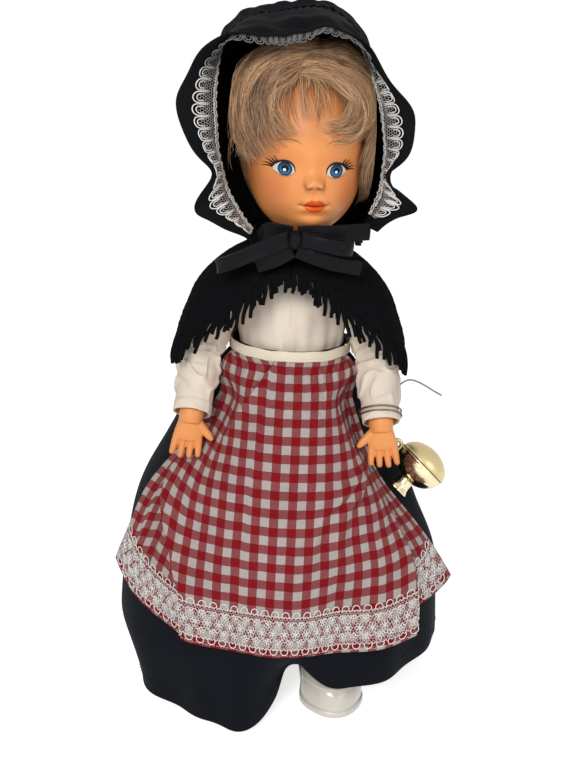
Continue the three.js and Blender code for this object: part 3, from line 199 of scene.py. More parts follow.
def surface(shape, columns, rows, closed=False, cut=None):
    """Points, faces and flat places of shape(u, v); faces look outward where u runs round and v down."""
    u, v = np.meshgrid(np.linspace(0, 1, columns + 1), np.linspace(0, 1, rows + 1))
    points = shape(u, v)
    wide = np.linalg.norm(np.diff(points, axis=1), axis=2).sum(1).max()
    long = np.linalg.norm(np.diff(points, axis=0), axis=2).sum(0).max()
    flat = np.stack([u * wide, v * long], -1) if cut is None else cut(u, v, points)
    flat = flat.reshape(-1, 2)
    corner = grid_faces(columns, rows, False).ravel()
    if closed:
        points = points[:, :-1]
    return points.reshape(-1, 3), grid_faces(columns, rows, closed).tolist(), flat[corner]


def tubes(paths, radius, sides=5, up=(0, 0, 1), flat=1.0):
    """Points and faces of capped tubes along paths of shape (count, steps, 3)."""
    paths = np.asarray(paths, float)
    count, steps = paths.shape[:2]
    along = unit(np.gradient(paths, axis=1))
    side = unit(np.cross(np.broadcast_to(np.asarray(up, float), paths.shape), along))
    over = np.cross(along, side)
    turn = np.linspace(0, TURN, sides, endpoint=False)
    reach = np.broadcast_to(np.asarray(radius, float), (count, steps))[:, :, None, None]
    ring = np.cos(turn)[:, None] * side[:, :, None] + flat * np.sin(turn)[:, None] * over[:, :, None]
    points = (paths[:, :, None] + reach * ring).reshape(-1, 3)
    first = np.arange(count)[:, None, None] * steps * sides
    i = np.arange(sides)
    base = first + np.arange(steps - 1)[None, :, None] * sides
    quads = np.stack([base + i, base + (i + 1) % sides, base + sides + (i + 1) % sides, base + sides + i], -1)
    starts = (first[:, 0] + i[::-1]).tolist()
    ends = (first[:, 0] + (steps - 1) * sides + i).tolist()
    return points, quads.reshape(-1, 4).tolist() + starts + ends


def joined(*parts):
    """One mesh from several (points, faces) pairs."""
    points, faces, shift = [], [], 0
    for some_points, some_faces in parts:
        points.append(np.reshape(some_points, (-1, 3)))
        faces += [[i + shift for i in face] for face in some_faces]
        shift += len(points[-1])
    return np.concatenate(points), faces


def piece(name, points, faces, finish, body, flat=None):
    mesh = bpy.data.meshes.new(name)
    mesh.from_pydata((np.reshape(points, (-1, 3)) * MM).tolist(), [], faces)
    mesh.materials.append(finish)
    if flat is not None:
        mesh.uv_layers.new(name="cut").data.foreach_set("uv", np.asarray(flat, np.float32).ravel())
    mesh.shade_smooth()
    made = bpy.data.objects.new(name, mesh)
    scene.collection.objects.link(made)
    if body:
        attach(made, body)
    return made


def thickened(made, thickness):
    """Give a sheet its thickness, inward from its outer side."""
    solid = made.modifiers.new("thickness", "SOLIDIFY")
    solid.thickness = thickness * MM
    solid.offset = -1
    return made


def cloth(name, shape, columns, rows, finish, body, thickness, closed=False, cut=None):
    """A piece of cloth of even thickness whose outer side is shape(u, v)."""
    points, faces, flat = surface(shape, columns, rows, closed, cut)
    return thickened(piece(name, points, faces, finish, body, flat), thickness)


def mark(made, name, values):
    """Store one number per vertex, for a finish to read."""
    layer = made.data.attributes.new(name, "FLOAT", "POINT")
    layer.data.foreach_set("value", np.ravel(values).astype(np.float32))


def stands_for(made, slot, *nodes):
    """Hide the CAD nodes whose place a piece takes. The piece and the material slot are not used."""
    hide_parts(*nodes)


print("mesh makers ready")

# %% [markdown]
# ## Node helpers
# Every finish is a small graph of shader nodes. These helpers make one node and join it up in one line, so
# that a finish reads like a recipe: where, which noise, between which two colours, how deep.

# %%
def node(tree, kind, sockets=None, **settings):
    made = tree.nodes.new("ShaderNode" + kind)
    for name, value in settings.items():
        setattr(made, name, value)
    for name, value in (sockets or {}).items():
        if isinstance(value, bpy.types.NodeSocket):
            tree.links.new(value, made.inputs[name])
        else:
            made.inputs[name].default_value = value
    return made


def maths(tree, operation, a, b=0.0):
    return node(tree, "Math", {0: a, 1: b}, operation=operation).outputs[0]


def weighed(tree, a, weight_a, b, weight_b):
    """The sum of two values, each times its weight."""
    return maths(tree, "ADD", maths(tree, "MULTIPLY", a, weight_a), maths(tree, "MULTIPLY", b, weight_b))


def stepped(tree, value, low, high, **settings):
    """0 below the low value, 1 above the high one and a ramp between."""
    return node(tree, "MapRange", {0: value, 1: low, 2: high}, **settings).outputs[0]


def scaled(tree, vector, scale):
    return node(tree, "VectorMath", {0: vector, "Scale": scale}, operation="SCALE").outputs[0]


def tinted(tree, share, low, high):
    """A colour between two, by a share from 0 to 1."""
    made = node(tree, "Mix", {0: share}, data_type="RGBA")
    for place, colour in ((6, low), (7, high)):
        if isinstance(colour, bpy.types.NodeSocket):
            tree.links.new(colour, made.inputs[place])
        else:
            made.inputs[place].default_value = (*colour, 1)
    return made.outputs[2]


def noise(tree, place, scale, detail=3.0, roughness=0.55):
    sockets = {"Vector": place, "Scale": scale, "Detail": detail, "Roughness": roughness}
    return node(tree, "TexNoise", sockets).outputs


def stretched(tree, place, scale):
    return node(tree, "Mapping", {"Vector": place, "Scale": scale}).outputs[0]


def marked(tree, name):
    """The number that `mark` stored on each vertex."""
    return node(tree, "Attribute", attribute_name=name).outputs["Fac"]


def cut_place(tree):
    return node(tree, "UVMap", uv_map="cut").outputs[0]


def solid_place(tree):
    return node(tree, "TexCoord").outputs["Object"]


def grain(tree, scale, detail):
    """Noise through the solid of a piece."""
    return noise(tree, solid_place(tree), scale, detail)[0]


print("node helpers ready")

# %% [markdown]
# ## Shared effects
# Woven threads, uneven yarn with painted shade in its gaps, age and wear come back on many pieces, so each is
# a node group that gives only a varying height, mask or share. The finish that uses it sets the uniform
# numbers itself.

# %%
def new_group(name, inputs, outputs):
    """An empty node group; what it gives out are plain numbers."""
    tree = bpy.data.node_groups.new(name, "ShaderNodeTree")
    for label, kind in inputs.items():
        tree.interface.new_socket(name=label, in_out="INPUT", socket_type="NodeSocket" + kind)
    for label in outputs:
        tree.interface.new_socket(name=label, in_out="OUTPUT", socket_type="NodeSocketFloat")
    return tree, tree.nodes.new("NodeGroupInput").outputs, tree.nodes.new("NodeGroupOutput").inputs


def weave_group():
    """Over and under of a plain weave, and the thicker threads in it."""
    tree, given, made = new_group("plain_weave", {"Cut": "Vector", "Pitch": "Float"}, ["Height", "Slub"])
    turns = maths(tree, "DIVIDE", math.pi, given["Pitch"])
    split = node(tree, "SeparateXYZ", {0: scaled(tree, given["Cut"], turns)})
    waves = [maths(tree, "SINE", split.outputs[i]) for i in (0, 1)]
    tree.links.new(maths(tree, "MULTIPLY", *waves), made["Height"])
    streaks = []
    for stretch in ((0.1, 2.2, 1), (2.2, 0.1, 1)):
        streaks.append(noise(tree, stretched(tree, given["Cut"], stretch), 1.0, 2)[0])
    tree.links.new(maths(tree, "MULTIPLY", maths(tree, "ADD", *streaks), 0.5), made["Slub"])
    return tree


def check_group():
    """How many of the two crossing stripes of a gingham are coloured: none, one or both."""
    tree, given, made = new_group("gingham_check", {"Cut": "Vector", "Check": "Float"}, ["Stripes"])
    shaken = scaled(tree, noise(tree, given["Cut"], 0.7, 2)["Color"], 0.35)
    place = node(tree, "VectorMath", {0: given["Cut"], 1: shaken}, operation="ADD").outputs[0]
    counted = scaled(tree, place, maths(tree, "DIVIDE", 1.0, given["Check"]))
    split = node(tree, "SeparateXYZ", {0: counted})
    stripes = [maths(tree, "MODULO", maths(tree, "FLOOR", split.outputs[i]), 2.0) for i in (0, 1)]
    tree.links.new(maths(tree, "ADD", *stripes), made["Stripes"])
    return tree


def yarn_group():
    """Bumps of looped yarn, and painted shade in the gaps between its loops."""
    tree, given, made = new_group("looped_yarn", {"Place": "Vector", "Size": "Float"}, ["Height", "Gap_Shade"])
    cells = node(tree, "TexVoronoi", {"Vector": given["Place"], "Scale": given["Size"]}, feature="SMOOTH_F1")
    fuzz = noise(tree, given["Place"], 2600.0, 4, 0.7)[0]
    loops = maths(tree, "SUBTRACT", 1.0, cells.outputs["Distance"])
    tree.links.new(maths(tree, "ADD", loops, maths(tree, "MULTIPLY", fuzz, 0.6)), made["Height"])
    tree.links.new(maths(tree, "MULTIPLY", cells.outputs["Distance"], fuzz), made["Gap_Shade"])
    return tree


def age_group():
    """Broad clouds of fading, and small specks of dust."""
    tree, given, made = new_group("age", {"Place": "Vector"}, ["Cloud", "Speck"])
    tree.links.new(noise(tree, given["Place"], 38.0, 4)[0], made["Cloud"])
    grains = noise(tree, given["Place"], 1500.0, 2)[0]
    tree.links.new(stepped(tree, grains, 0.66, 0.74), made["Speck"])
    return tree


def scratch_group():
    """Fine hairline scratches in two directions, and shallow dents."""
    tree, given, made = new_group("scratches", {"Place": "Vector"}, ["Line", "Dent"])
    lines = []
    for scale in ((300, 5000, 900), (3800, 420, 700)):
        raw = noise(tree, stretched(tree, given["Place"], scale), 1.0, 2)[0]
        lines.append(stepped(tree, raw, 0.66, 0.72))
    tree.links.new(maths(tree, "MAXIMUM", *lines), made["Line"])
    tree.links.new(noise(tree, given["Place"], 170.0, 2)[0], made["Dent"])
    return tree


WEAVE = weave_group()
CHECK = check_group()
YARN = yarn_group()
AGE = age_group()
SCRATCHES = scratch_group()
print("effects:", ", ".join(group.name for group in (WEAVE, CHECK, YARN, AGE, SCRATCHES)))

# %% [markdown]
# ## Cloth and thread finishes
# Cotton, gingham, satin, crochet and lace differ in how their threads lie. Each finish reads the flat cut
# of its cloth in millimetres, so a weave keeps its size on every piece. Colours are written as they should
# come out in plain light, and each has some variation, because nothing on an old doll is one flat colour.

# %%
GINGHAM_CHECK = 5.0


def new_finish(name, **sockets):
    material = bpy.data.materials.new(name)
    material.use_nodes = True
    tree = material.node_tree
    shader = tree.nodes["Principled BSDF"]
    for label, value in sockets.items():
        shader.inputs[label.replace("_", " ")].default_value = value
    return material, tree, shader


def effect(tree, group, **sockets):
    return node(tree, "Group", sockets, node_tree=group).outputs


def aged(tree):
    return effect(tree, AGE, Place=solid_place(tree))


def paint(tree, shader, colour):
    tree.links.new(colour, shader.inputs["Base Color"])


def emboss(tree, shader, height, strength, depth):
    """Small relief of some depth in millimetres."""
    bump = node(tree, "Bump", {"Height": height, "Strength": strength, "Distance": depth * MM})
    tree.links.new(bump.outputs[0], shader.inputs["Normal"])


def woven_finish(name, dark, pale, pitch, relief, roughness, gloss):
    material, tree, shader = new_finish(name, Roughness=roughness, Specular_IOR_Level=gloss)
    weave = effect(tree, WEAVE, Cut=cut_place(tree), Pitch=pitch)
    age = aged(tree)
    share = weighed(tree, weave["Slub"], 0.6, age["Cloud"], 0.4)
    dusty = maths(tree, "MAXIMUM", share, maths(tree, "MULTIPLY", age["Speck"], 0.8))
    paint(tree, shader, tinted(tree, dusty, dark, pale))
    emboss(tree, shader, weave["Height"], relief, 0.12)
    return material


def gingham_finish():
    """White, half-tone and full red squares, each streaked by its own threads."""
    material, tree, shader = new_finish("gingham", Roughness=0.85, Specular_IOR_Level=0.12, Sheen_Weight=0.03)
    cut = cut_place(tree)
    stripes = effect(tree, CHECK, Cut=cut, Check=GINGHAM_CHECK)["Stripes"]
    weave = effect(tree, WEAVE, Cut=cut, Pitch=0.45)
    age = aged(tree)
    thread = weighed(tree, weave["Slub"], 0.8, age["Cloud"], 0.2)
    single = tinted(tree, thread, (0.09, 0.016, 0.016), (0.41, 0.112, 0.108))
    double = tinted(tree, thread, (0.08, 0.002, 0.004), (0.36, 0.008, 0.017))
    white = tinted(tree, thread, (0.22, 0.18, 0.165), (0.66, 0.59, 0.55))
    pale = tinted(tree, node(tree, "Clamp", {0: stripes}).outputs[0], white, single)
    deep = node(tree, "Clamp", {0: maths(tree, "SUBTRACT", stripes, 1.0)}).outputs[0]
    paint(tree, shader, tinted(tree, deep, pale, double))
    emboss(tree, shader, weave["Height"], 0.5, 0.14)
    return material


def ribbon_finish():
    material, tree, shader = new_finish("satin_ribbon", Roughness=0.4, Specular_IOR_Level=0.07)
    ribs = noise(tree, stretched(tree, cut_place(tree), (5.0, 0.25, 1.0)), 1.0, 2)[0]
    paint(tree, shader, tinted(tree, ribs, (0.003, 0.003, 0.0036), (0.01, 0.01, 0.0115)))
    emboss(tree, shader, ribs, 0.25, 0.06)
    return material


def knit_finish(name, loop, relief):
    material, tree, shader = new_finish(name, Roughness=0.9, Specular_IOR_Level=0.02)
    yarn = effect(tree, YARN, Place=solid_place(tree), Size=loop)
    # painted shade: the yarn is darker in the gaps between its loops
    paint(tree, shader, tinted(tree, yarn["Gap_Shade"], (0.0075, 0.0075, 0.0085), (0.0008, 0.0008, 0.001)))
    emboss(tree, shader, yarn["Height"], relief, 0.5)
    return material


def thread_finish(name, dark, pale):
    """Twisted thread; where a piece is marked with shade, painted shade makes it darker."""
    material, tree, shader = new_finish(name, Roughness=0.7, Specular_IOR_Level=0.2)
    twist = grain(tree, 1800.0, 3)
    age = aged(tree)
    share = maths(tree, "MULTIPLY", maths(tree, "ADD", twist, age["Cloud"]), 0.5)
    lit = tinted(tree, share, dark, pale)
    paint(tree, shader, tinted(tree, marked(tree, "shade"), lit, (0.045, 0.043, 0.042)))
    emboss(tree, shader, twist, 0.4, 0.1)
    return material


BLACK_COTTON = woven_finish(
    "black_cotton", (0.0024, 0.0025, 0.0032), (0.009, 0.0095, 0.011),
    pitch=0.5, relief=0.5, roughness=0.72, gloss=0.05)
NAVY_COTTON = woven_finish(
    "skirt_cotton", (0.0034, 0.0041, 0.006), (0.0105, 0.0122, 0.017),
    pitch=0.5, relief=0.5, roughness=0.75, gloss=0.05)
WHITE_COTTON = woven_finish(
    "white_cotton", (0.7, 0.585, 0.47), (0.94, 0.82, 0.68),
    pitch=0.42, relief=0.5, roughness=0.85, gloss=0.25)
TAPE_COTTON = woven_finish(
    "tape_cotton", (0.7, 0.57, 0.43), (0.97, 0.87, 0.7),
    pitch=0.9, relief=1.0, roughness=0.8, gloss=0.25)
GINGHAM = gingham_finish()
RIBBON = ribbon_finish()
KNIT = knit_finish("shawl_knit", loop=620.0, relief=0.9)
YARN_STRAND = knit_finish("fringe_yarn", loop=1100.0, relief=0.6)
LACE = thread_finish("lace_thread", (0.78, 0.74, 0.7), (0.95, 0.93, 0.9))
BLACK_THREAD = thread_finish("black_thread", (0.004, 0.004, 0.005), (0.014, 0.014, 0.016))
TAPE_THREAD = thread_finish("white_thread", (0.6, 0.53, 0.42), (0.84, 0.77, 0.64))
SOCK_KNIT = thread_finish("sock_knit", (0.66, 0.62, 0.56), (0.88, 0.85, 0.8))
print(len(bpy.data.materials), "materials so far")

# %% [markdown]
# ## Skin, paint and hair finishes
# The skin is soft vinyl that lets a little light through, with sprayed cheeks. The eyes, brows and lips are
# thin enamel. The hair is nylon: each strand has its own tint, which shifts a little along it.

# %%
def skin_finish():
    material, tree, shader = new_finish(
        "vinyl", Roughness=0.42, Specular_IOR_Level=0.38, Subsurface_Weight=0.12, Subsurface_Scale=1.0)
    shader.inputs["Subsurface Radius"].default_value = (0.004, 0.0015, 0.0008)
    age = aged(tree)
    plain = tinted(tree, age["Cloud"], (0.74, 0.275, 0.08), (0.88, 0.355, 0.105))
    rosy = tinted(tree, marked(tree, "blush"), plain, (0.56, 0.12, 0.035))
    # painted shade: where the head is marked with shade, the skin is painted darker brown
    shaded_skin = tinted(tree, marked(tree, "shade"), rosy, (0.17, 0.045, 0.012))
    specks = maths(tree, "MULTIPLY", age["Speck"], 0.12)
    paint(tree, shader, tinted(tree, specks, shaded_skin, (0.35, 0.16, 0.08)))
    emboss(tree, shader, grain(tree, 2500.0, 2), 0.12, 0.05)
    return material


def enamel_finish(name, dark, pale, roughness=0.28, gloss=0.3):
    """Thin brushed paint, a little streaky."""
    material, tree, shader = new_finish(name, Roughness=roughness, Specular_IOR_Level=gloss)
    paint(tree, shader, tinted(tree, grain(tree, 900.0, 3), dark, pale))
    return material


def iris_finish():
    """Blue paint with pale spokes, darker under the lid and at the rim."""
    material, tree, shader = new_finish("iris_paint", Roughness=0.25, Specular_IOR_Level=0.15)
    spokes = grain(tree, 1400.0, 2)
    blue = tinted(tree, spokes, (0.012, 0.09, 0.26), (0.05, 0.23, 0.47))
    high = stepped(tree, marked(tree, "rise"), 0.35, 0.95)
    rim = stepped(tree, marked(tree, "out"), 0.66, 0.96, interpolation_type="SMOOTHSTEP")
    shaded = tinted(tree, high, blue, (0.006, 0.028, 0.08))
    paint(tree, shader, tinted(tree, rim, shaded, (0.006, 0.012, 0.026)))
    return material


def hair_finish():
    material, tree, shader = new_finish("hair_fibre", Roughness=0.3, Specular_IOR_Level=0.5, Anisotropic=0.5)
    along = grain(tree, 120.0, 2)
    share = weighed(tree, marked(tree, "tint"), 0.75, along, 0.3)
    paint(tree, shader, tinted(tree, share, (0.12, 0.043, 0.016), (1.0, 0.62, 0.34)))
    return material


SKIN = skin_finish()
IRIS = iris_finish()
HAIR = hair_finish()
EYE_WHITE = enamel_finish("eye_white_paint", (0.56, 0.5, 0.46), (0.74, 0.7, 0.66))
EYE_DARK = enamel_finish("pupil_paint", (0.003, 0.003, 0.005), (0.012, 0.012, 0.016), 0.2, 0.08)
GLINT = enamel_finish("glint_paint", (0.86, 0.86, 0.86), (0.95, 0.95, 0.95), 0.15)
LINE_PAINT = enamel_finish("lash_paint", (0.01, 0.006, 0.004), (0.035, 0.018, 0.011), gloss=0.08)
BROW_PAINT = enamel_finish("brow_paint", (0.2, 0.075, 0.028), (0.34, 0.14, 0.055))
LIP_PAINT = enamel_finish("lower_lip_paint", (0.68, 0.07, 0.004), (0.84, 0.11, 0.008), 0.26, 0.2)
# painted shade: the upper lip is painted darker than the lower one, as it faces down into shade
UPPER_LIP_PAINT = enamel_finish("upper_lip_paint", (0.52, 0.046, 0.003), (0.66, 0.07, 0.005), 0.34)
MOUTH_PAINT = enamel_finish("mouth_line_paint", (0.16, 0.018, 0.005), (0.24, 0.03, 0.008), gloss=0.1)
print(len(bpy.data.materials), "materials so far")

# %% [markdown]
# ## Plastic and metal finishes
# The shoes are glossy moulded plastic with hairline scratches. The jug is brass foil, polished above its seam
# and matt below, with a painted highlight in the paler brass above the seam; the wire has tarnished. Dents
# and scratches break up the shine.

# %%
def plastic_finish(name, dark, pale, roughness, coat):
    material, tree, shader = new_finish(name, Roughness=roughness, Specular_IOR_Level=0.5, Coat_Weight=coat)
    age = aged(tree)
    scratches = effect(tree, SCRATCHES, Place=solid_place(tree))
    lines = maths(tree, "MULTIPLY", scratches["Line"], 0.35)
    worn = maths(tree, "MAXIMUM", lines, maths(tree, "MULTIPLY", age["Speck"], 0.5))
    clean = tinted(tree, age["Cloud"], dark, pale)
    paint(tree, shader, tinted(tree, worn, clean, (0.38, 0.34, 0.29)))
    emboss(tree, shader, scratches["Dent"], 0.25, 0.4)
    return material


def metal_finish(name, dark, pale, rough_low, rough_high, dents):
    material, tree, shader = new_finish(name, Metallic=1.0)
    age = aged(tree)
    scratches = effect(tree, SCRATCHES, Place=solid_place(tree))
    clean = tinted(tree, age["Cloud"], dark, pale)
    lit = maths(tree, "MULTIPLY", scratches["Line"], 0.5)
    paint(tree, shader, tinted(tree, lit, clean, (0.9, 0.82, 0.6)))
    rough = node(tree, "MapRange", {0: scratches["Dent"], 1: 0.3, 2: 0.7, 3: rough_low, 4: rough_high})
    tree.links.new(rough.outputs[0], shader.inputs["Roughness"])
    emboss(tree, shader, scratches["Dent"], dents, 0.6)
    return material


SHOE_PLASTIC = plastic_finish("shoe_plastic", (0.64, 0.585, 0.505), (0.8, 0.75, 0.67), 0.24, 0.4)
BODY_PLASTIC = plastic_finish("body_plastic", (0.62, 0.3, 0.15), (0.74, 0.4, 0.22), 0.45, 0.0)
WIRE = metal_finish("tarnished_wire", (0.11, 0.085, 0.06), (0.3, 0.23, 0.15), 0.3, 0.55, 0.2)
MATT_BRASS = metal_finish("matt_brass", (0.5, 0.38, 0.17), (0.72, 0.6, 0.34), 0.34, 0.52, 0.25)
# painted highlight: the shoulder's brass is paler than the base's, standing in for the light that it catches
HIGHLIGHT_BRASS = metal_finish("brass_painted_highlight", (0.62, 0.5, 0.28), (0.86, 0.78, 0.56), 0.1, 0.3, 0.5)
print(len(bpy.data.materials), "materials in all")

# %% [markdown]
# ## Light and floor
# A large soft lamp in front and above, a weaker one from the other side and an even sky give plain studio
# light. The floor is pale and keeps the doll's shadow. To the camera and in reflections the floor and the sky
# read as a photographer's white sweep, which adds no light to the doll.

# %%
SKY_LEVEL = 0.31
FLOOR_GLOW = 0.72
FLOOR_SIZE = 30000
LAMP_AIM = Vector((0, 0, 0.22))


def lamp(name, place, size, power):
    data = bpy.data.lights.new(name, "AREA")
    data.shape = "DISK"
    data.size = size
    data.energy = power
    made = bpy.data.objects.new(name, data)
    toward = LAMP_AIM - Vector(place)
    made.matrix_world = Matrix.Translation(place) @ toward.to_track_quat("-Z", "Y").to_matrix().to_4x4()
    scene.collection.objects.link(made)
    return made


def seen(tree):
    """1 for what the camera sees straight on, in a mirror or through something clear, and 0 for light."""
    path = node(tree, "LightPath").outputs
    mirrored = maths(tree, "MAXIMUM", path["Is Glossy Ray"], path["Is Transmission Ray"])
    return maths(tree, "MAXIMUM", path["Is Camera Ray"], mirrored)


def sky():
    world = bpy.data.worlds.new("sky")
    world.use_nodes = True
    tree = world.node_tree
    plain = tree.nodes["Background"]
    plain.inputs["Color"].default_value = (0.92, 0.96, 1.0, 1)
    plain.inputs["Strength"].default_value = SKY_LEVEL
    white = node(tree, "Background", {"Color": (1, 1, 1, 1), "Strength": 1.0})
    either = node(tree, "MixShader", {0: seen(tree), 1: plain.outputs[0], 2: white.outputs[0]})
    tree.links.new(either.outputs[0], tree.nodes["World Output"].inputs["Surface"])
    scene.world = world


def floor_finish():
    material, tree, shader = new_finish("pale_floor", Roughness=0.9, Specular_IOR_Level=0.1)
    clouds = grain(tree, 6.0, 2)
    paint(tree, shader, tinted(tree, clouds, (0.93, 0.93, 0.93), (0.96, 0.96, 0.96)))
    shader.inputs["Emission Color"].default_value = (1, 1, 1, 1)
    tree.links.new(maths(tree, "MULTIPLY", seen(tree), FLOOR_GLOW), shader.inputs["Emission Strength"])
    return material


key = lamp("key_lamp", (-0.42, -1.25, 0.98), 0.7, 13.6)
fill = lamp("fill_lamp", (0.95, -0.9, 0.75), 0.9, 4.2)
sky()
half = FLOOR_SIZE / 2
corners = np.array([(-half, -half, 0), (half, -half, 0), (half, half, 0), (-half, half, 0)])
floor = piece("floor", corners, [[0, 1, 2, 3]], floor_finish(), None)
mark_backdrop(key, fill, floor)
print("lamps", key.data.energy, fill.data.energy, "W, sky", SKY_LEVEL)

# %% [markdown]
# ## Head
# The real head is rotation-moulded vinyl: one hollow egg with a short face, full cheeks and a small nose.
# It is worked out here as an ellipsoid with soft swellings and hollows added in front of it, as a sculptor
# adds pellets of clay, which keeps the skin smooth and lets each feature be placed one by one.

# %%
HEAD_HALF = np.array([33.0, 37.0, 47.0])
HEAD_LIFT = 45.5
HEAD_CENTRE = np.array([3.0, -7.0, 328.0])
HEAD_YAW = 7.0
JAW_FULLNESS = 0.8
EYE_MIDDLE = -1.1
EYE_X = 13.1
EYE_Z = -8.2
EYE_TILT = 0.2
NOSE_X = 0.9
NOSE_Z = -14.1
MOUTH_X = 1.9
MOUTH_Z = -27.0


def on_head(points):
    return rotated(points, "Z", HEAD_YAW) + HEAD_CENTRE


def both(middle, x, *rest):
    return [(middle + x, *rest), (middle - x, *rest)]


FACE_RELIEF = [
    *both(0, 16.5, -24, 9, 8, 2.8),
    (0, -27, 18, 13, 4.2),
    (MOUTH_X * 0.6, -38, 7, 3.8, 4.4),
    (0, -6, 2.8, 6, 1.2),
    (NOSE_X, NOSE_Z, 3.1, 2.7, 5.0),
    *both(NOSE_X, 3.9, NOSE_Z - 1.9, 1.4, 1.5, 3.0),
    *both(NOSE_X, 2.3, NOSE_Z - 3.1, 1.0, 0.6, -2.2),
    *both(NOSE_X, 5.9, NOSE_Z - 1.8, 0.55, 1.7, -1.3),
    (MOUTH_X * 0.7, -21.0, 0.9, 1.8, -0.5),
    *both(MOUTH_X, 2.2, MOUTH_Z + 2.1, 2.6, 1.4, 1.5),
    (MOUTH_X, MOUTH_Z - 1.9, 3.8, 1.5, 2.0),
    (MOUTH_X, MOUTH_Z, 5.4, 0.45, -1.2),
    *both(MOUTH_X, 6.9, MOUTH_Z + 0.6, 1.2, 1.2, -1.0),
    (MOUTH_X, MOUTH_Z - 5.2, 4.5, 1.5, -1.5),
    (0, 14, 18, 14, 1.5),
    *both(EYE_MIDDLE, EYE_X, EYE_Z, 6.4, 4.8, -2.2),
    *both(EYE_MIDDLE, EYE_X, EYE_Z - 0.2, 4.4, 3.6, 1.9),
    *both(EYE_MIDDLE, EYE_X, EYE_Z + 6.2, 6, 1.0, 0.5),
]


def head_point(u, v, grown=0.0):
    share = TURN * u
    turn = share - 0.6 * np.sin(share)
    drop = mix(0.02, math.acos(-HEAD_LIFT / HEAD_HALF[2]), v)
    girth = np.where(drop > math.pi / 2, np.sin(drop) ** JAW_FULLNESS, np.sin(drop))
    point = vec(girth * np.sin(turn), -girth * np.cos(turn), np.cos(drop)) * HEAD_HALF
    x, z = point[..., 0], point[..., 2]
    swell = sum(
        high * bell(x - at_x, wide) * bell(z - at_z, tall) for at_x, at_z, wide, tall, high in FACE_RELIEF)
    ahead = vec(0, -swell * smooth(-point[..., 1], 0, 12), 0)
    return point + ahead + unit(point / HEAD_HALF**2) * grown


HEAD_COLUMNS, HEAD_ROWS = 220, 150
head_points, head_faces, _ = surface(head_point, HEAD_COLUMNS, HEAD_ROWS, closed=True)
crown_cap = [list(range(HEAD_COLUMNS))]
head = piece("head_skin", on_head(head_points), head_faces + crown_cap, SKIN, "head")
stands_for(head, "vinyl", "head")
x, y, z = head_points.T
cheeks = bell(np.abs(x) - 20, 7) * bell(z + 20, 8)
lids = 0.3 * bell(np.abs(x - EYE_MIDDLE) - EYE_X, 7) * bell(z - EYE_Z - 6, 3)
mark(head, "blush", np.clip(0.55 * cheeks + lids + 0.3 * bell(x, 9) * bell(z + 41, 5), 0, 1))
# painted shade: darker toward the sides of the face, in the nostrils, in the creases round the nose wings and
# on the forehead, where bonnet and hair shade the skin
sides = 0.75 * smooth(np.abs(x), 22, 34)
nostrils = 0.9 * bell(np.abs(x - NOSE_X) - 2.4, 0.9) * bell(z - NOSE_Z + 3.1, 0.6)
wings = 0.5 * bell(np.hypot(x - NOSE_X, z - NOSE_Z - 0.6) - 5.4, 0.5) * smooth(NOSE_Z - z, -0.5, 1.5)
wings = wings * smooth(np.abs(x - NOSE_X), 3.0, 4.6)
forehead = 0.28 * smooth(z, 0, 16)
mark(head, "shade", np.clip(sides + nostrils + wings + forehead, 0, 1))
print("head points", len(head_points))

# %% [markdown]
# ## Painted face
# On the factory line the eyes, brows and lips are sprayed and tampo-printed on the vinyl. Each colour is a
# thin patch that follows the skin: its outline is drawn in front of the face and pressed back onto the
# head.

# %%
skin_tree = BVHTree.FromPolygons(head_points.tolist(), head_faces)


def pressed(x, z, lift):
    """Points in front of the face, moved back onto the skin and raised a little."""
    flat = np.stack(np.broadcast_arrays(x, z), -1).reshape(-1, 2)
    found = []
    for place in flat:
        hit, normal, _, _ = skin_tree.ray_cast(Vector((place[0], -90, place[1])), Vector((0, 1, 0)))
        found.append(hit + normal * lift)
    return on_head(np.array(found))


def painted_patch(name, centre, outline, lift, finish):
    """A filled patch from its centre to the outline that is drawn in front of the face."""
    rings, count = 9, len(outline)
    share = np.linspace(0.02, 1, rings)[:, None, None]
    flat = centre + (np.asarray(outline) - centre) * share
    points = pressed(flat[..., 0], flat[..., 1], lift)
    faces = grid_faces(count, rings - 1, True).tolist() + [list(range(count))]
    made = piece(name, points, faces, finish, "head")
    mark(made, "out", np.repeat(np.linspace(0.02, 1, rings), count))
    mark(made, "rise", (flat[..., 1] - centre[1]) / np.ptp(flat[..., 1]) + 0.5)
    return made


def painted_stroke(name, paths, widths, lift, finish):
    """Brush strokes along paths in front of the face, with a width at each point."""
    parts = []
    for path in paths:
        line = spline(path, 24)
        along = unit(np.gradient(line, axis=0))
        aside = np.stack([-along[:, 1], along[:, 0]], -1)
        wide = np.interp(np.linspace(0, 1, 24), np.linspace(0, 1, len(widths)), widths)[:, None]
        edges = np.stack([line + aside * wide / 2, line, line - aside * wide / 2])
        parts.append((pressed(edges[..., 0], edges[..., 1], lift), grid_faces(23, 2, False).tolist()))
    return piece(name, *joined(*parts), finish, "head")


print("brushes ready")

# %% [markdown]
# Each eye is a white almond with a blue iris, a pupil and a glint, two lid lines, five lashes and a brow. The
# lines are drawn for the left eye and mirrored for the right one.

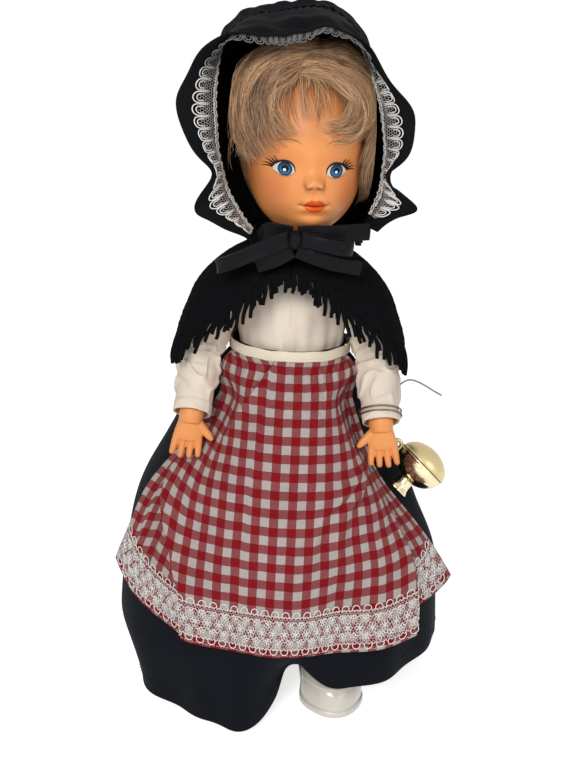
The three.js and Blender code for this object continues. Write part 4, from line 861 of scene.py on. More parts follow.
# %%
EYE_OUTER, EYE_INNER, EYE_TOP, EYE_LOW = 5.8, 4.9, 3.9, 3.5
IRIS_RADIUS = 3.6
UPPER_LID = ((-5.1, -1.2), (-4.4, 1.6), (-1.8, 3.8), (1.4, 4.0), (4.4, 2.7), (6.6, 0.0))
LOWER_LID = ((-4.5, -1.8), (-1.7, -3.5), (1.9, -3.5), (5.3, -1.5))
BROW = ((6.4, 5.2), (9.4, 6.7), (12.6, 7.3), (16.0, 7.0), (19.4, 5.6))
LASHES = (
    ((3.9, 3.4), (4.6, 4.8), (5.9, 6.0)), ((4.9, 2.8), (6.3, 4.3), (8.2, 5.4)),
    ((5.5, 2.0), (7.5, 3.2), (9.8, 3.9)), ((6.0, 1.2), (8.4, 1.8), (10.9, 1.9)),
    ((6.3, 0.4), (8.9, 0.5), (11.2, -0.1)))


def beside(eye, side, line):
    """A line that is drawn for the left eye, set at either eye."""
    return [eye + (side * a, b) for a, b in line]


turn = np.linspace(0, TURN, 56, endpoint=False)
disc = np.stack([np.cos(turn), np.sin(turn)], -1)
for name, side in SIDES:
    eye = np.array([EYE_MIDDLE + side * EYE_X, EYE_Z - side * EYE_TILT])
    reach = np.where(np.cos(turn) > 0, EYE_OUTER, EYE_INNER) * np.cos(turn)
    rise = np.where(np.sin(turn) > 0, EYE_TOP, EYE_LOW) * np.sign(np.sin(turn)) * np.abs(np.sin(turn)) ** 0.85
    almond = eye + np.stack([side * reach, rise], -1)
    gaze = eye + (0.25 * (1 + side), 0)
    iris = gaze + np.clip(disc * IRIS_RADIUS, (-9, -EYE_LOW + 0.1), (9, EYE_TOP - 0.5))
    painted_patch(f"eye_white_{name}", eye, almond, 0.1, EYE_WHITE)
    painted_patch(f"iris_{name}", gaze, iris, 0.16, IRIS)
    painted_patch(f"pupil_{name}", gaze, gaze + disc * 1.75, 0.22, EYE_DARK)
    spark = gaze + (-0.2, -0.5)
    painted_patch(f"glint_{name}", spark, spark + disc * 0.75, 0.3, GLINT)
    upper = [beside(eye, side, UPPER_LID)]
    painted_stroke(f"upper_lid_{name}", upper, [0.3, 0.85, 1.2, 1.25, 1.25, 0.6], 0.32, LINE_PAINT)
    lower = [beside(eye, side, LOWER_LID)]
    painted_stroke(f"lower_lid_{name}", lower, [0.15, 0.3, 0.35, 0.2], 0.3, BROW_PAINT)
    lashes = [beside(eye, side, lash) for lash in LASHES]
    painted_stroke(f"lashes_{name}", lashes, [0.95, 0.65, 0.2], 0.3, LINE_PAINT)
    arch = [(side * a, b) for a, b in BROW]
    painted_stroke(f"brow_{name}", [arch], [0.2, 0.5, 0.6, 0.45, 0.2], 0.12, BROW_PAINT)
print("eyes", EYE_X * 2, "mm apart")

# %% [markdown]
# The lips are two patches that meet at the mouth line: the upper one has the cupid's bow.

# %%
LIP_HALF = 5.5
across = np.linspace(-1, 1, 41)
closing = np.sqrt(np.clip(1 - across**2, 0, 1))
bow = MOUTH_Z + closing**0.8 * (2.7 + 1.1 * bell(np.abs(across) - 0.42, 0.26)) + 0.5 * across**2
line = MOUTH_Z + 0.5 * across**2
low = MOUTH_Z - 3.4 * closing**1.1 + 0.5 * across**2
lips = (("upper_lip", bow, line, UPPER_LIP_PAINT), ("lower_lip", line, low, LIP_PAINT))
for name, top, base, finish in lips:
    rows = np.linspace(0, 1, 9)[:, None]
    heights = mix(top, base, rows)
    points = pressed(np.broadcast_to(MOUTH_X + across * LIP_HALF, heights.shape), heights, 0.1)
    piece(name, points, grid_faces(40, 8, False).tolist(), finish, "head")
# painted shade: the dark line in the groove where the lips meet, running on into the creases past their
# corners
mouth = [(MOUTH_X + a * LIP_HALF, MOUTH_Z + 0.5 * a * a) for a in (-1.6, -1, -0.5, 0, 0.5, 1, 1.35)]
painted_stroke("mouth_line", [mouth], [0.15, 0.4, 0.5, 0.6, 0.5, 0.4, 0.15], 0.2, MOUTH_PAINT)
print("mouth", LIP_HALF * 2, "mm wide")

# %% [markdown]
# ## Hair
# Doll hair is nylon fibre rooted in rows and combed to both sides of a parting. A plain scalp fills the
# bonnet, and over it lie locks of fine strands: each lock follows a line between two edges of the style,
# and its strands spread a little about that line, so that they clump and part as real fibre does.

# %%
HAIR_HALF = np.array([39.0, 42.0, 53.0])
HAIR_SHIFT = np.array([0.0, 4.5, 2.0])
NAPE = 9.0 - HEAD_LIFT
STRAND_RADIUS = 0.12
STRAND_STEPS = 20


def scalp_point(u, v):
    share = TURN * u
    drop = mix(0.02, math.acos((NAPE - HAIR_SHIFT[2]) / HAIR_HALF[2]), v)
    egg = vec(np.sin(drop) * np.sin(share), -np.sin(drop) * np.cos(share), np.cos(drop))
    point = egg * (HAIR_HALF - 0.8) + HAIR_SHIFT
    front = smooth(-point[..., 1], 8, 16) * smooth(-point[..., 2], -46, -36)
    cheek = smooth(-point[..., 1], -20, -4) * smooth(-point[..., 2], -6, 6)
    inside = head_point(u, np.clip(v * 0.9, 0, 1), -1.5)
    return mix(point, inside, np.maximum(front, cheek)[..., None])


def hair_place(x, z, lift):
    """A place on the hair as seen from the front, raised off it."""
    room = np.where(x > 0, 36.5, 43.0)
    over = np.hypot(x / room, (z - HAIR_SHIFT[2]) / 54.0)
    x = x / (1 + over**16) ** (1 / 16)
    lift = np.minimum(lift, mix(6.0, 0.6, smooth(np.abs(x) / room, 0.75, 1.0)))
    left = np.clip(1 - (x / HAIR_HALF[0]) ** 2 - ((z - HAIR_SHIFT[2]) / HAIR_HALF[2]) ** 2, 0, 1)
    point = vec(x, -HAIR_HALF[1] * np.sqrt(left) + HAIR_SHIFT[1], z)
    return point + unit((point - HAIR_SHIFT) / HAIR_HALF**2) * lift[..., None]


def locks(first, last, count, strands, spread, seed):
    """Strands between two edge lines of (across, up, lift) points."""
    dice = np.random.default_rng(seed)
    first, last = spline(first, STRAND_STEPS), spline(last, STRAND_STEPS)
    share = (np.arange(count) + dice.uniform(-0.5, 0.5, count)) / count
    centre = mix(first, last, np.clip(share, 0, 1)[:, None, None])
    ease = np.linspace(0, 1, STRAND_STEPS)[None, :, None]
    sway = dice.normal(0, 1, (count, 1, 3)) * spread * np.sin(ease * 2.4)
    wave = dice.normal(0, 1.2, (count, 1, 3)) * np.sin(ease * dice.uniform(5, 11, (count, 1, 1)))
    centre = centre + sway + wave
    stray = np.where(dice.uniform(0, 1, (count, strands, 1, 1)) > 0.92, 3.0, 1.0)
    each = (count, strands, 1, 3)
    fine = dice.normal(0, 1, each) * np.array([0.8, 0.8, 0.55]) * (0.35 + ease[None]) * stray
    cross = dice.normal(0, 0.6, each) * np.sin(ease * dice.uniform(3, 10, (count, strands, 1, 1)))
    paths = (centre[:, None] + fine + cross).reshape(-1, STRAND_STEPS, 3)
    kept = dice.uniform(0.7, 1, (len(paths), 1)) * np.linspace(0, STRAND_STEPS - 1, STRAND_STEPS)
    before = np.minimum(kept.astype(int), STRAND_STEPS - 2)
    rows = np.arange(len(paths))[:, None]
    paths = mix(paths[rows, before], paths[rows, before + 1], (kept - before)[..., None])
    tint = dice.normal(0.5, 0.28, (count, 1)) + dice.normal(0, 0.28, (count, strands))
    tint = np.clip(tint, 0, 1).ravel()
    return hair_place(paths[..., 0], paths[..., 1], np.maximum(paths[..., 2], 0.2)), tint


print("hair makers ready")

# %% [markdown]
# Each row of the style is one sheet of locks: the lines of its first and its last lock, as (across, up, lift)
# points in front of the head, then the number of locks, the strands in a lock and how far locks sway.

# %%
SCALP_COLUMNS, SCALP_ROWS = 120, 70
HAIR_STYLE = [
    (((8, 53, 1.0), (-14, 50, 3.0), (-29, 40, 3.2), (-37, 24, 2.2), (-37, 12, 1.6),
      (-34, 2, 1.2), (-30, -4, 0.4)),
     ((2, 47, 2.0), (-12, 44, 4.0), (-24, 36, 3.8), (-31, 24, 3.0), (-32, 12, 2.4),
      (-28, 3, 1.6), (-24, -1, 0.6)),
     44, 28, 1.0),
    (((0, 47, 2.6), (-14, 42, 4.0), (-24, 33, 3.6), (-29, 21, 2.6), (-28, 10, 2.0),
      (-24, 3, 1.2), (-19, 1, 0.5)),
     ((-8, 40, 2.0), (-13, 35, 2.8), (-17, 28, 2.4), (-18, 20, 1.8), (-15, 14, 1.2),
      (-10, 11, 0.7), (-6, 12, 0.3)),
     24, 14, 1.6),
    (((-8, 46, 2.4), (6, 46, 4.0), (22, 41, 4.0), (33, 29, 3.4), (33, 17, 2.8), (25, 9, 2.0), (13, 8, 1.0)),
     ((-8, 38, 1.8), (1, 37, 2.8), (10, 32, 2.8), (16, 26, 2.4), (15, 20, 1.8), (10, 17, 1.0), (4, 18, 0.5)),
     38, 17, 1.4),
    (((4, 53, 1.0), (20, 50, 3.0), (32, 38, 3.2), (38, 22, 2.2), (38, 8, 1.6), (35, -5, 1.2), (32, -14, 0.5)),
     ((2, 47, 2.0), (16, 44, 4.0), (28, 35, 3.8), (34, 22, 3.0), (33, 10, 2.6), (30, 0, 1.8), (28, -8, 0.8)),
     44, 26, 1.0),
    (((35, 27, 2.4), (33, 13, 3.0), (29, 3, 2.8), (27, -7, 2.4), (29, -17, 1.8), (31, -27, 0.8)),
     ((38, 24, 1.2), (37, 10, 2.0), (34, -2, 2.4), (33, -12, 2.0), (34, -22, 1.4), (35, -33, 0.4)),
     14, 24, 0.7),
    (((-33, 14, 0.6), (-33, 5, 0.8), (-31, -1, 0.6), (-28, -6, 0.3)),
     ((-37, 14, 0.2), (-37, 3, 0.4), (-35, -4, 0.3), (-33, -9, 0.2)), 10, 20, 0.7),
    (((-10, 39, 2.0), (-14, 30, 1.6), (-15, 23, 1.2), (-13, 16, 0.7), (-9, 13, 0.3)),
     ((0, 39, 2.0), (6, 32, 1.8), (9, 26, 1.2), (8, 20, 0.7), (4, 17, 0.3)),
     18, 4, 1.0),
    (((-28, 26, 2.6), (-30, 14, 2.4), (-27, 4, 1.8), (-22, 0, 1.0), (-18, 1, 0.4)),
     ((-22, 26, 2.6), (-24, 15, 2.2), (-21, 7, 1.6), (-16, 4, 0.8), (-13, 6, 0.4)),
     8, 6, 1.6),
    (((10, 40, 3.0), (22, 30, 3.2), (26, 18, 2.6), (20, 9, 1.6), (10, 6, 0.8), (2, 8, 0.3)),
     ((6, 34, 2.4), (14, 27, 2.6), (17, 19, 2.0), (12, 13, 1.2), (4, 12, 0.6), (-2, 15, 0.3)),
     10, 5, 1.8),
    (((-30, 44, 3.0), (-36, 30, 4.5), (-36, 12, 4.5), (-33, 0, 3.0), (-30, -8, 2.0)),
     ((-31, 42, 2.0), (-36, 28, 3.5), (-36, 12, 3.5), (-34, -3, 2.0), (-31, -12, 1.0)),
     4, 8, 1.4),
    (((26, 46, 3.0), (34, 32, 4.5), (36, 14, 4.5), (34, -4, 3.0), (32, -14, 2.0)),
     ((28, 46, 2.0), (35, 32, 3.5), (36, 14, 3.5), (35, -6, 2.0), (33, -20, 1.0)),
     4, 8, 1.4),
]
scalp_points, scalp_faces, _ = surface(scalp_point, SCALP_COLUMNS, SCALP_ROWS, closed=True)
scalp_cap = [list(range(SCALP_COLUMNS))]
scalp = piece("scalp_hair", on_head(scalp_points), scalp_faces + scalp_cap, HAIR, "head")
scalp_turn = np.arctan2(scalp_points[:, 0], scalp_points[:, 2])
# painted shade: the scalp's hair is tinted darker than the strands, as the inner layers of hair lie in shade
mark(scalp, "tint", 0.1 + 0.15 * ripple(scalp_turn * 40, scalp_points[:, 1], 3, 5))
stands_for(scalp, "hair", "hair_cap")
made = [locks(first, last, count, strands, spread, 20 + i)
        for i, (first, last, count, strands, spread) in enumerate(HAIR_STYLE)]
strand_paths = np.concatenate([paths for paths, _ in made])
strand_tint = np.concatenate([tint for _, tint in made])
taper = STRAND_RADIUS * np.interp(np.linspace(0, 1, STRAND_STEPS), (0, 0.7, 1), (1, 1, 0.35))
hair = piece("hair_strands", *tubes(on_head(strand_paths), taper, 3, (0, -1, 0.3)), HAIR, "head")
mark(hair, "tint", np.repeat(strand_tint, STRAND_STEPS * 3))
stands_for(hair, "hair", "hair_fringe", "hair_lock_left", "hair_lock_right")
print(len(strand_paths), "strands of hair")

# %% [markdown]
# ## Bonnet
# The bonnet is black cotton: a deep crown gathered at the back, and a wired brim that slopes down over the
# brow, turns outward beside the face and is gathered by the ribbon at each cheek. Both are single sheets,
# so each is one formula with a thickness, the crown as an egg and the brim as a flare from the crown's
# front seam.

# %%
BONNET_CENTRE = np.array([1.0, -7.0, 328.0])
BONNET_TILT = -10.0
BONNET_LOW_EDGE = -48.5
CROWN_HALF = np.array([47.0, 44.0, 66.0])
CROWN_TOP_HEIGHT = 71.0
CROWN_BULGE = 0.15
CROWN_SHIFT = np.array([0.0, 4.0, 2.0])
CROWN_FRONT_Y = -8.0
BRIM_SPAN = math.radians(139)
BRIM_FLARE, BRIM_TOP_FLARE, BRIM_SIDE_FLARE = 12.5, -12.0, 8.0
BRIM_SIDE_ANGLE = math.radians(48)
BRIM_REACH, BRIM_TOP_REACH = 20.0, 30.0
VISOR_ANGLE = math.radians(8)
BRIM_WAVE = 2.2
PINCH_LEFT, PINCH_RIGHT = math.radians(110), math.radians(97)
PINCH_DEPTH, LOWER_FLARE = 10.0, 6.0
CLOTH = 0.9
FIT = 0.35


def on_bonnet(points):
    return rotated(points, "Y", BONNET_TILT) + BONNET_CENTRE


def crown_ring(angle, share):
    """Across and up on the crown's egg, at an angle from its top and a share of its full girth."""
    bulge = 1 + CROWN_BULGE * np.maximum(0, np.cos(angle)) * np.sin(2 * angle) ** 2
    height = np.where(np.cos(angle) > 0, CROWN_TOP_HEIGHT, CROWN_HALF[2])
    across = CROWN_HALF[0] * share * bulge * np.sin(angle)
    return across, height * share * bulge * np.cos(angle) + CROWN_SHIFT[2]


def crown_point(u, v):
    back = mix(math.asin((CROWN_FRONT_Y - CROWN_SHIFT[1]) / CROWN_HALF[1]), math.pi / 2 - 0.02, v)
    share = np.cos(back)
    tilt = math.radians(BONNET_TILT)
    up, aside = CROWN_HALF[2] * share * math.cos(tilt), -CROWN_HALF[0] * share * math.sin(tilt)
    level = BONNET_LOW_EDGE - CROWN_SHIFT[2] * math.cos(tilt)
    lean = np.arctan2(aside, up)
    open_angle = np.arccos(np.clip(level / np.hypot(up, aside), -1, 1))
    angle = lean + mix(-open_angle, open_angle, u)
    gathers = 0.7 * np.sin(46 * angle) * bell(v - 0.72, 0.16) + 0.4 * np.sin(64 * angle) * bell(v, 0.07)
    crease = 1.5 * ripple(angle * 22, v * 80, 26, 31) * smooth(v, 0.02, 0.2)
    crease = crease + 0.5 * ripple(angle * 60, v * 90, 15, 33)
    x, z = crown_ring(angle, share * (1 + (gathers + crease - 0.6) / 60))
    return on_bonnet(vec(x, CROWN_SHIFT[1] + CROWN_HALF[1] * np.sin(back), z))


def brim_point(u, v):
    angle = mix(-BRIM_SPAN, BRIM_SPAN, u)
    seam_share = math.sqrt(1 - ((CROWN_FRONT_Y - CROWN_SHIFT[1]) / CROWN_HALF[1]) ** 2)
    top = smooth(np.cos(angle - VISOR_ANGLE), 0.2, 0.95)
    below = np.abs(angle) - np.where(angle > 0, PINCH_LEFT, PINCH_RIGHT)
    lower = LOWER_FLARE * bell(below - math.radians(11), math.radians(6))
    pinch = PINCH_DEPTH * bell(below, math.radians(6)) - lower
    wave = BRIM_WAVE * v * np.sin(9 * angle + 0.4) * (1 - top)
    side = BRIM_SIDE_FLARE * bell(np.abs(angle) - BRIM_SIDE_ANGLE, 0.35)
    hanging = 1 - 0.65 * smooth(below, math.radians(8), math.radians(36))
    flare = (mix(BRIM_FLARE, BRIM_TOP_FLARE, top) + side) * hanging - pinch + wave
    uneven = 0.9 * v * ripple(angle * 45, v * 20, 24, 41)
    uneven = uneven + 0.8 * np.sin(3 * v) * ripple(angle * 30, v * 40, 17, 43)
    reach = mix(BRIM_REACH, BRIM_TOP_REACH, top) - wave + uneven
    x, z = crown_ring(angle, seam_share)
    level = smooth(np.abs(angle), 1.7, 2.3)
    out = vec(mix(np.sin(angle), np.sign(angle), level), 0, mix(np.cos(angle), -0.25, level))
    gathers = 0.35 * np.sin(80 * angle) * bell(v, 0.12)
    seam = vec(x, CROWN_FRONT_Y - FIT - reach * np.sin(v * 1.5), z)
    return on_bonnet(seam + out * (flare * v**1.3 + uneven + gathers)[..., None])


crown = cloth("bonnet_crown_cloth", crown_point, 200, 70, BLACK_COTTON, "head", CLOTH)
brim = cloth("bonnet_brim_cloth", brim_point, 300, 30, BLACK_COTTON, "head", CLOTH)
stands_for(crown, "black_cotton", "bonnet_crown")
stands_for(brim, "black_cotton", "bonnet_brim")
print("bonnet faces", len(crown.data.polygons) + len(brim.data.polygons))

# %% [markdown]
# ## Sheets
# Stitches and lace are laid on a sheet a little way along its normals.

# %%
def raised(shape, u, v, lift):
    """Points of a cloth surface, moved along its normals."""
    step = 0.002
    down = shape(u, np.clip(v + step, 0, None)) - shape(u, np.clip(v - step, 0, None))
    around = shape(u + step, v) - shape(u - step, v)
    return shape(u, v) + unit(np.cross(down, around)) * np.asarray(lift)[..., None]


def area_of(made):
    """Half the surface of a closed piece, in square metres: the cloth that it holds."""
    solid = made.evaluated_get(bpy.context.evaluated_depsgraph_get()).data
    return sum(face.area for face in solid.polygons) / 2


def declare(made, flat=None):
    if flat is None:
        places = np.zeros(2 * len(made.data.loops), np.float32)
        made.data.uv_layers["cut"].data.foreach_get("uv", places)
        flat = places.reshape(-1, 2).max(0).tolist()
    wide, long = flat[0] * MM, flat[1] * MM
    area = float(np.clip(area_of(made), 0.31 * wide * long, wide * long))
    print(made.name, "cut", round(flat[0]), "x", round(flat[1]), "mm, cloth", round(area * 1e4, 1), "cm2")


declare(crown)
declare(brim)

# %% [markdown]
# ## Neck frill
# A short frill is gathered to the lower edge of the crown and covers the nape, as on most old bonnets. It
# closes the gap between bonnet and shawl, which is dark in the photograph.

# %%
FRILL_DROP, FRILL_FLARE = 8.8, 2.0


def frill_point(u, v):
    side = np.where(u < 0.5, 1.0, 0.0)
    back = 1 - np.abs(2 * u - 1)
    seam = crown_point(side, back**0.8 * 0.93)
    outward = unit((seam - BONNET_CENTRE) * (1, 1, 0))
    gathers = 0.9 * np.sin(TURN * 24 * u) * smooth(v, 0.05, 0.6)
    drop = FRILL_DROP * (1 + 0.12 * np.sin(11 * u))
    return seam + outward * (FRILL_FLARE * v**1.5 + gathers + 0.4)[..., None] - vec(0, 0, drop * v - 3.4)


frill = cloth("bonnet_frill_cloth", frill_point, 240, 14, BLACK_COTTON, "head", CLOTH)
stands_for(frill, "black_cotton", "bonnet_crown")
declare(frill)

# %% [markdown]
# ## Bonnet stitching
# Two rows of running stitches hold the brim: one at its hem, one at the seam that joins it to the crown.

# %%
def stitches(name, shape, row, start, end, count, lift, finish, body, length=0.62, radius=0.16):
    """A dashed row of thread along u at one v, just above the cloth."""
    place = np.linspace(start, end, count)
    step = (end - start) / count
    u = place[:, None] + step * length * np.linspace(-0.5, 0.5, 5)[None]
    v = np.broadcast_to(row, u.shape)
    arch = lift + radius * np.array([-0.6, 0.6, 0.9, 0.6, -0.6])
    paths = raised(shape, u, v, np.broadcast_to(arch, u.shape))
    return piece(name, *tubes(paths, radius, 5, (0.1, 0.2, 1)), finish, body)


stitches("brim_stitches", brim_point, 0.9, 0.01, 0.99, 150, 0.0, BLACK_THREAD, "head")
stitches("brim_seam_stitches", brim_point, 0.06, 0.01, 0.99, 170, 0.0, BLACK_THREAD, "head")
print("stitched brim")

# %% [markdown]
# ## Lace
# Machine lace is a net with thicker cords worked into it. It is made here thread by thread: each thread is
# a line on the flat strip, in millimetres along and across, and the strip is then laid on the cloth that
# carries it.

# %%
def laid(shape, start, end, top, foot, length, width, lift):
    """A function that lays flat lace places (along, across) on a cloth surface, between two lines of v."""
    def place(flat, over):
        u = mix(start, end, np.clip(flat[..., 0] / length, 0, 1))
        v = mix(top(u), foot(u), flat[..., 1] / width)
        return raised(shape, u, v, lift + over)
    return place


def threads(place, lines, radius, over=0.0, sides=5):
    lines = np.asarray(lines, float)
    return tubes(place(lines, np.full(lines.shape[:2], over)), radius, sides, (0.13, -1, 0.29))


def hex_net(length, width, pitch):
    """Short threads of a hexagonal net."""
    tall = pitch * math.sqrt(3)
    lines = []
    for j in range(int(width / tall) + 1):
        for i in range(int(length / pitch) + 1):
            for x, y in ((i * pitch, j * tall), ((i + 0.5) * pitch, (j + 0.5) * tall)):
                rise, fall = tall / 6 / pitch * 2, -tall / 3 / pitch * 2
                for dx, dy in ((0.5, rise), (-0.5, rise), (0, fall)):
                    lines.append([(x, y), (x + dx * pitch * 0.98, y + dy * pitch * 0.5)])
    lines = np.array(lines)
    x, y = lines[..., 0], lines[..., 1]
    inside = (x >= 0) & (x <= length) & (y >= 0) & (y <= width)
    return lines[inside.all(1)]


def arches(length, pitch, foot, tip, half_width, points=15):
    """A row of rounded loops that stand on one line and reach to another."""
    sweep = np.linspace(0, math.pi, points)
    centre = (np.arange(int(length / pitch)) + 0.5) * pitch
    along = centre[:, None] - half_width * np.cos(sweep)
    rise = np.sign(np.sin(sweep)) * np.abs(np.sin(sweep)) ** 0.6
    return np.stack([along, np.broadcast_to(mix(foot, tip, rise), along.shape)], -1)


def long_loops(length, pitch, foot, tip, half_width):
    """A row of loops with straight legs and round ends."""
    sweep = np.linspace(0, math.pi, 11)
    legs = np.array([(-half_width, foot), (-half_width, mix(foot, tip - half_width, 0.5))])
    bend = np.stack([-half_width * np.cos(sweep), tip - half_width + half_width * np.sin(sweep)], -1)
    one = np.concatenate([legs, bend, legs[::-1] * (-1, 1)])
    centre = (np.arange(int(length / pitch)) + 0.5) * pitch
    return one[None] + np.stack([centre, np.zeros(len(centre))], -1)[:, None]


def wavy(length, level, pitch, height):
    along = np.linspace(0, length, int(length / pitch * 6))
    return np.stack([along, level + height * np.sin(along * TURN / pitch)], -1)[None]


print("lace makers ready")

# %% [markdown]
# The bonnet's lace lines the inside of the brim: a fine net, two rows of long loops toward its free edge, and
# two wavy cords where it is sewn on. Over the brow it moves forward to the edge of the brim and hangs down.

# %%
BRIM_LACE_LENGTH, BRIM_LACE_WIDTH, LOOP_PITCH = 330.0, 14.0, 6.2


def under_visor(u):
    """How far the lace moves to the brim's front edge, which is only over the brow."""
    return smooth(np.cos(mix(-BRIM_SPAN, BRIM_SPAN, u) - VISOR_ANGLE), 0.5, 0.9)


on_brim = laid(
    brim_point, 0.02, 0.98, lambda u: 0.04 + 0.5 * under_visor(u), lambda u: 0.68 + 0.43 * under_visor(u),
    BRIM_LACE_LENGTH, BRIM_LACE_WIDTH, -CLOTH - 0.5)


def brim_lace_place(flat, over):
    """Lace on the brim; over the brow its free edge hangs down a little."""
    visor = under_visor(mix(0.02, 0.98, flat[..., 0] / BRIM_LACE_LENGTH))
    hang = 3.0 * visor * smooth(flat[..., 1], 8, BRIM_LACE_WIDTH)
    return on_brim(flat, over) - vec(0, 0, hang)


net = hex_net(BRIM_LACE_LENGTH, 9.5, 1.5)
net[..., 1] += 2.2
parts = [threads(brim_lace_place, net, 0.1, sides=3)]
for foot, tip, half_width, radius in ((5.2, 14.0, 2.75, 0.33), (8.6, 12.2, 1.7, 0.3)):
    loops = long_loops(BRIM_LACE_LENGTH, LOOP_PITCH, foot, tip, half_width)
    parts.append(threads(brim_lace_place, loops, radius, -0.25))
for level in (0.6, 2.0):
    parts.append(threads(brim_lace_place, wavy(BRIM_LACE_LENGTH, level, 1.7, 0.4), 0.3, -0.2))
lace_points, lace_faces = joined(*parts)
brim_lace = piece("bonnet_lace_threads", lace_points, lace_faces, LACE, "head")
# painted shade: the lace high up under the front of the brim is darker, where the brim shades it
mark(brim_lace, "shade", 0.85 * smooth(lace_points[:, 2], 362, 374))
stands_for(brim_lace, "white_lace", "bonnet_lace")
declare(brim_lace, (BRIM_LACE_LENGTH, BRIM_LACE_WIDTH))

# %% [markdown]
# ## Ribbon bow
# The bonnet is tied with satin ribbon under the chin. Each band is a strip along a path, a little cupped
# across its width as stiff ribbon is, and the knot is a tight pleated egg.

# %%
BOW_HEIGHT, BOW_Y = 284.0, -46.0
RIBBON_WIDTH = 8.0
KNOT_HALF = 4.5
TAPE_THICKNESS = 0.6
RIBBON_CUP = 0.5


def bow_point(x, y, z):
    return np.array([x, BOW_Y + y, BOW_HEIGHT + z])


def ribbon(name, path, width_direction, width, node_name, slot="black_ribbon", finish=RIBBON, body="head"):
    """A strip along a path, a little cupped and uneven across."""
    line = spline(path, 60)
    across = unit(np.asarray(width_direction, float))
    def strip(u, v):
        i = np.clip((v * 59).round().astype(int), 0, 59)
        along = unit(np.gradient(line, axis=0))[i]
        off = unit(np.cross(along, across))
        bend = RIBBON_CUP * (1 - (2 * u - 1) ** 2) + 0.25 * ripple(u * width, v * 60, 14, len(name))
        sway = (u - 0.5) * width
        return line[i] + across * sway[..., None] + off * bend[..., None]
    stands_for(cloth(name, strip, 12, 59, finish, body, TAPE_THICKNESS), slot, node_name)


def bow_loop(name, side, reach, drop):
    start = KNOT_HALF - 1.5
    path = [bow_point(side * start, -1.2, 0), bow_point(side * reach * 0.5, -2.0, -drop * 0.45),
            bow_point(side * reach * 0.92, 0.6, -drop * 0.9), bow_point(side * reach, 4.2, -drop),
            bow_point(side * reach * 0.88, 5.6, -drop * 0.9),
            bow_point(side * reach * 0.5, 3.6, -drop * 0.45),
            bow_point(side * start, 1.6, 0)]
    ribbon(f"{name}_satin", path, (side * drop * 0.6, 0, reach), RIBBON_WIDTH, name)


def bow_tail(name, side, reach, drop):
    path = [bow_point(side * 1.2, 0.4, -KNOT_HALF - 2.0),
            bow_point(side * reach * 0.5, 0.8, -KNOT_HALF - 3 - drop * 0.5),
            bow_point(side * reach, 7 * reach / 34, -KNOT_HALF - 3 - drop)]
    ribbon(f"{name}_satin", path, (side * drop, 0, reach), RIBBON_WIDTH, name)


def bonnet_tie(name, side):
    corner = brim_point(np.array(1.0 if side == 1 else 0.0), np.array(0.55)) - (0, 0, RIBBON_WIDTH * 0.2)
    path = [bow_point(side * 1.2, 4.6, 1.0), bow_point(side * 16, 7.5, 1.5), corner]
    ribbon(f"{name}_satin", path, (0, 0, 1), RIBBON_WIDTH * 1.2, name)


def knot(name, half, centre, pleats, columns, rows, finish, body):
    """A tight egg with pleats, each given by its depth, count and slant."""
    def shape(u, v):
        turn, drop = TURN * u, mix(0.03, math.pi - 0.03, v)
        swell = 1 + sum(depth * np.cos(count * turn + slant * drop) for depth, count, slant in pleats)
        egg = vec(np.sin(drop) * np.cos(turn), np.sin(drop) * np.sin(turn), np.cos(drop)) * np.array(half)
        return egg * swell[..., None] + centre
    points, faces, flat = surface(shape, columns, rows, closed=True)
    return piece(name, points, faces, finish, body, flat)


bow_pleats = ((0.05, 5, 3), (0.03, 9, 0))
bow_knot = knot(
    "bow_knot_satin", (3.6, 4.6, 5.0), bow_point(0, -0.6, -0.6), bow_pleats, 40, 24, RIBBON, "head")
stands_for(bow_knot, "black_ribbon", "bow_knot")
bow_loop("bow_loop_right", -1, 41, 18)
bow_loop("bow_loop_left", 1, 31, 5)
bow_tail("bow_tail_right", -1, 20, 9)
bow_tail("bow_tail_left", 1, 36, 9)
for name, side in SIDES:
    bonnet_tie(f"bonnet_tie_{name}", side)
print("bow at", BOW_HEIGHT, "mm")

# %% [markdown]
# ## Shawl
# The shawl is crocheted in thick black yarn and lies round the shoulders. It is made as two halves that meet
# at the middle of front and back.

# %%
SHAWL_TOP, SHAWL_TOP_RADIUS = 281.0, 19.0
SHAWL_SHOULDER, SHAWL_SHOULDER_RADIUS = 264.0, 38.0
SHAWL_HALF_WIDTH, SHAWL_HALF_DEPTH = 67.0, 51.0
SHAWL_FRONT, SHAWL_SIDE = 251.0, 207.0
SHAWL_OPENING = 15.0
SHAWL_THICKNESS = 1.2
FRINGE_LENGTH = 14.0
UPPER = (mix(SHAWL_SHOULDER, SHAWL_TOP, 0.5), mix(SHAWL_SHOULDER_RADIUS, SHAWL_TOP_RADIUS, 0.7))
SHAWL_WIDTHS = [
    (SHAWL_SIDE - 20, SHAWL_HALF_WIDTH), (SHAWL_SIDE, SHAWL_HALF_WIDTH),
    (mix(SHAWL_SIDE, SHAWL_SHOULDER, 0.4), SHAWL_HALF_WIDTH - 6),
    (mix(SHAWL_SIDE, SHAWL_SHOULDER, 0.72), SHAWL_HALF_WIDTH - 14),
    (SHAWL_SHOULDER, SHAWL_SHOULDER_RADIUS), UPPER, (SHAWL_TOP, SHAWL_TOP_RADIUS)]
SHAWL_DEPTHS = [
    (SHAWL_SIDE - 20, SHAWL_HALF_DEPTH), (SHAWL_SIDE, SHAWL_HALF_DEPTH),
    (SHAWL_FRONT - 12, SHAWL_SHOULDER_RADIUS + 2), (SHAWL_FRONT, SHAWL_SHOULDER_RADIUS + 1),
    (SHAWL_SHOULDER, SHAWL_SHOULDER_RADIUS), UPPER, (SHAWL_TOP, SHAWL_TOP_RADIUS)]


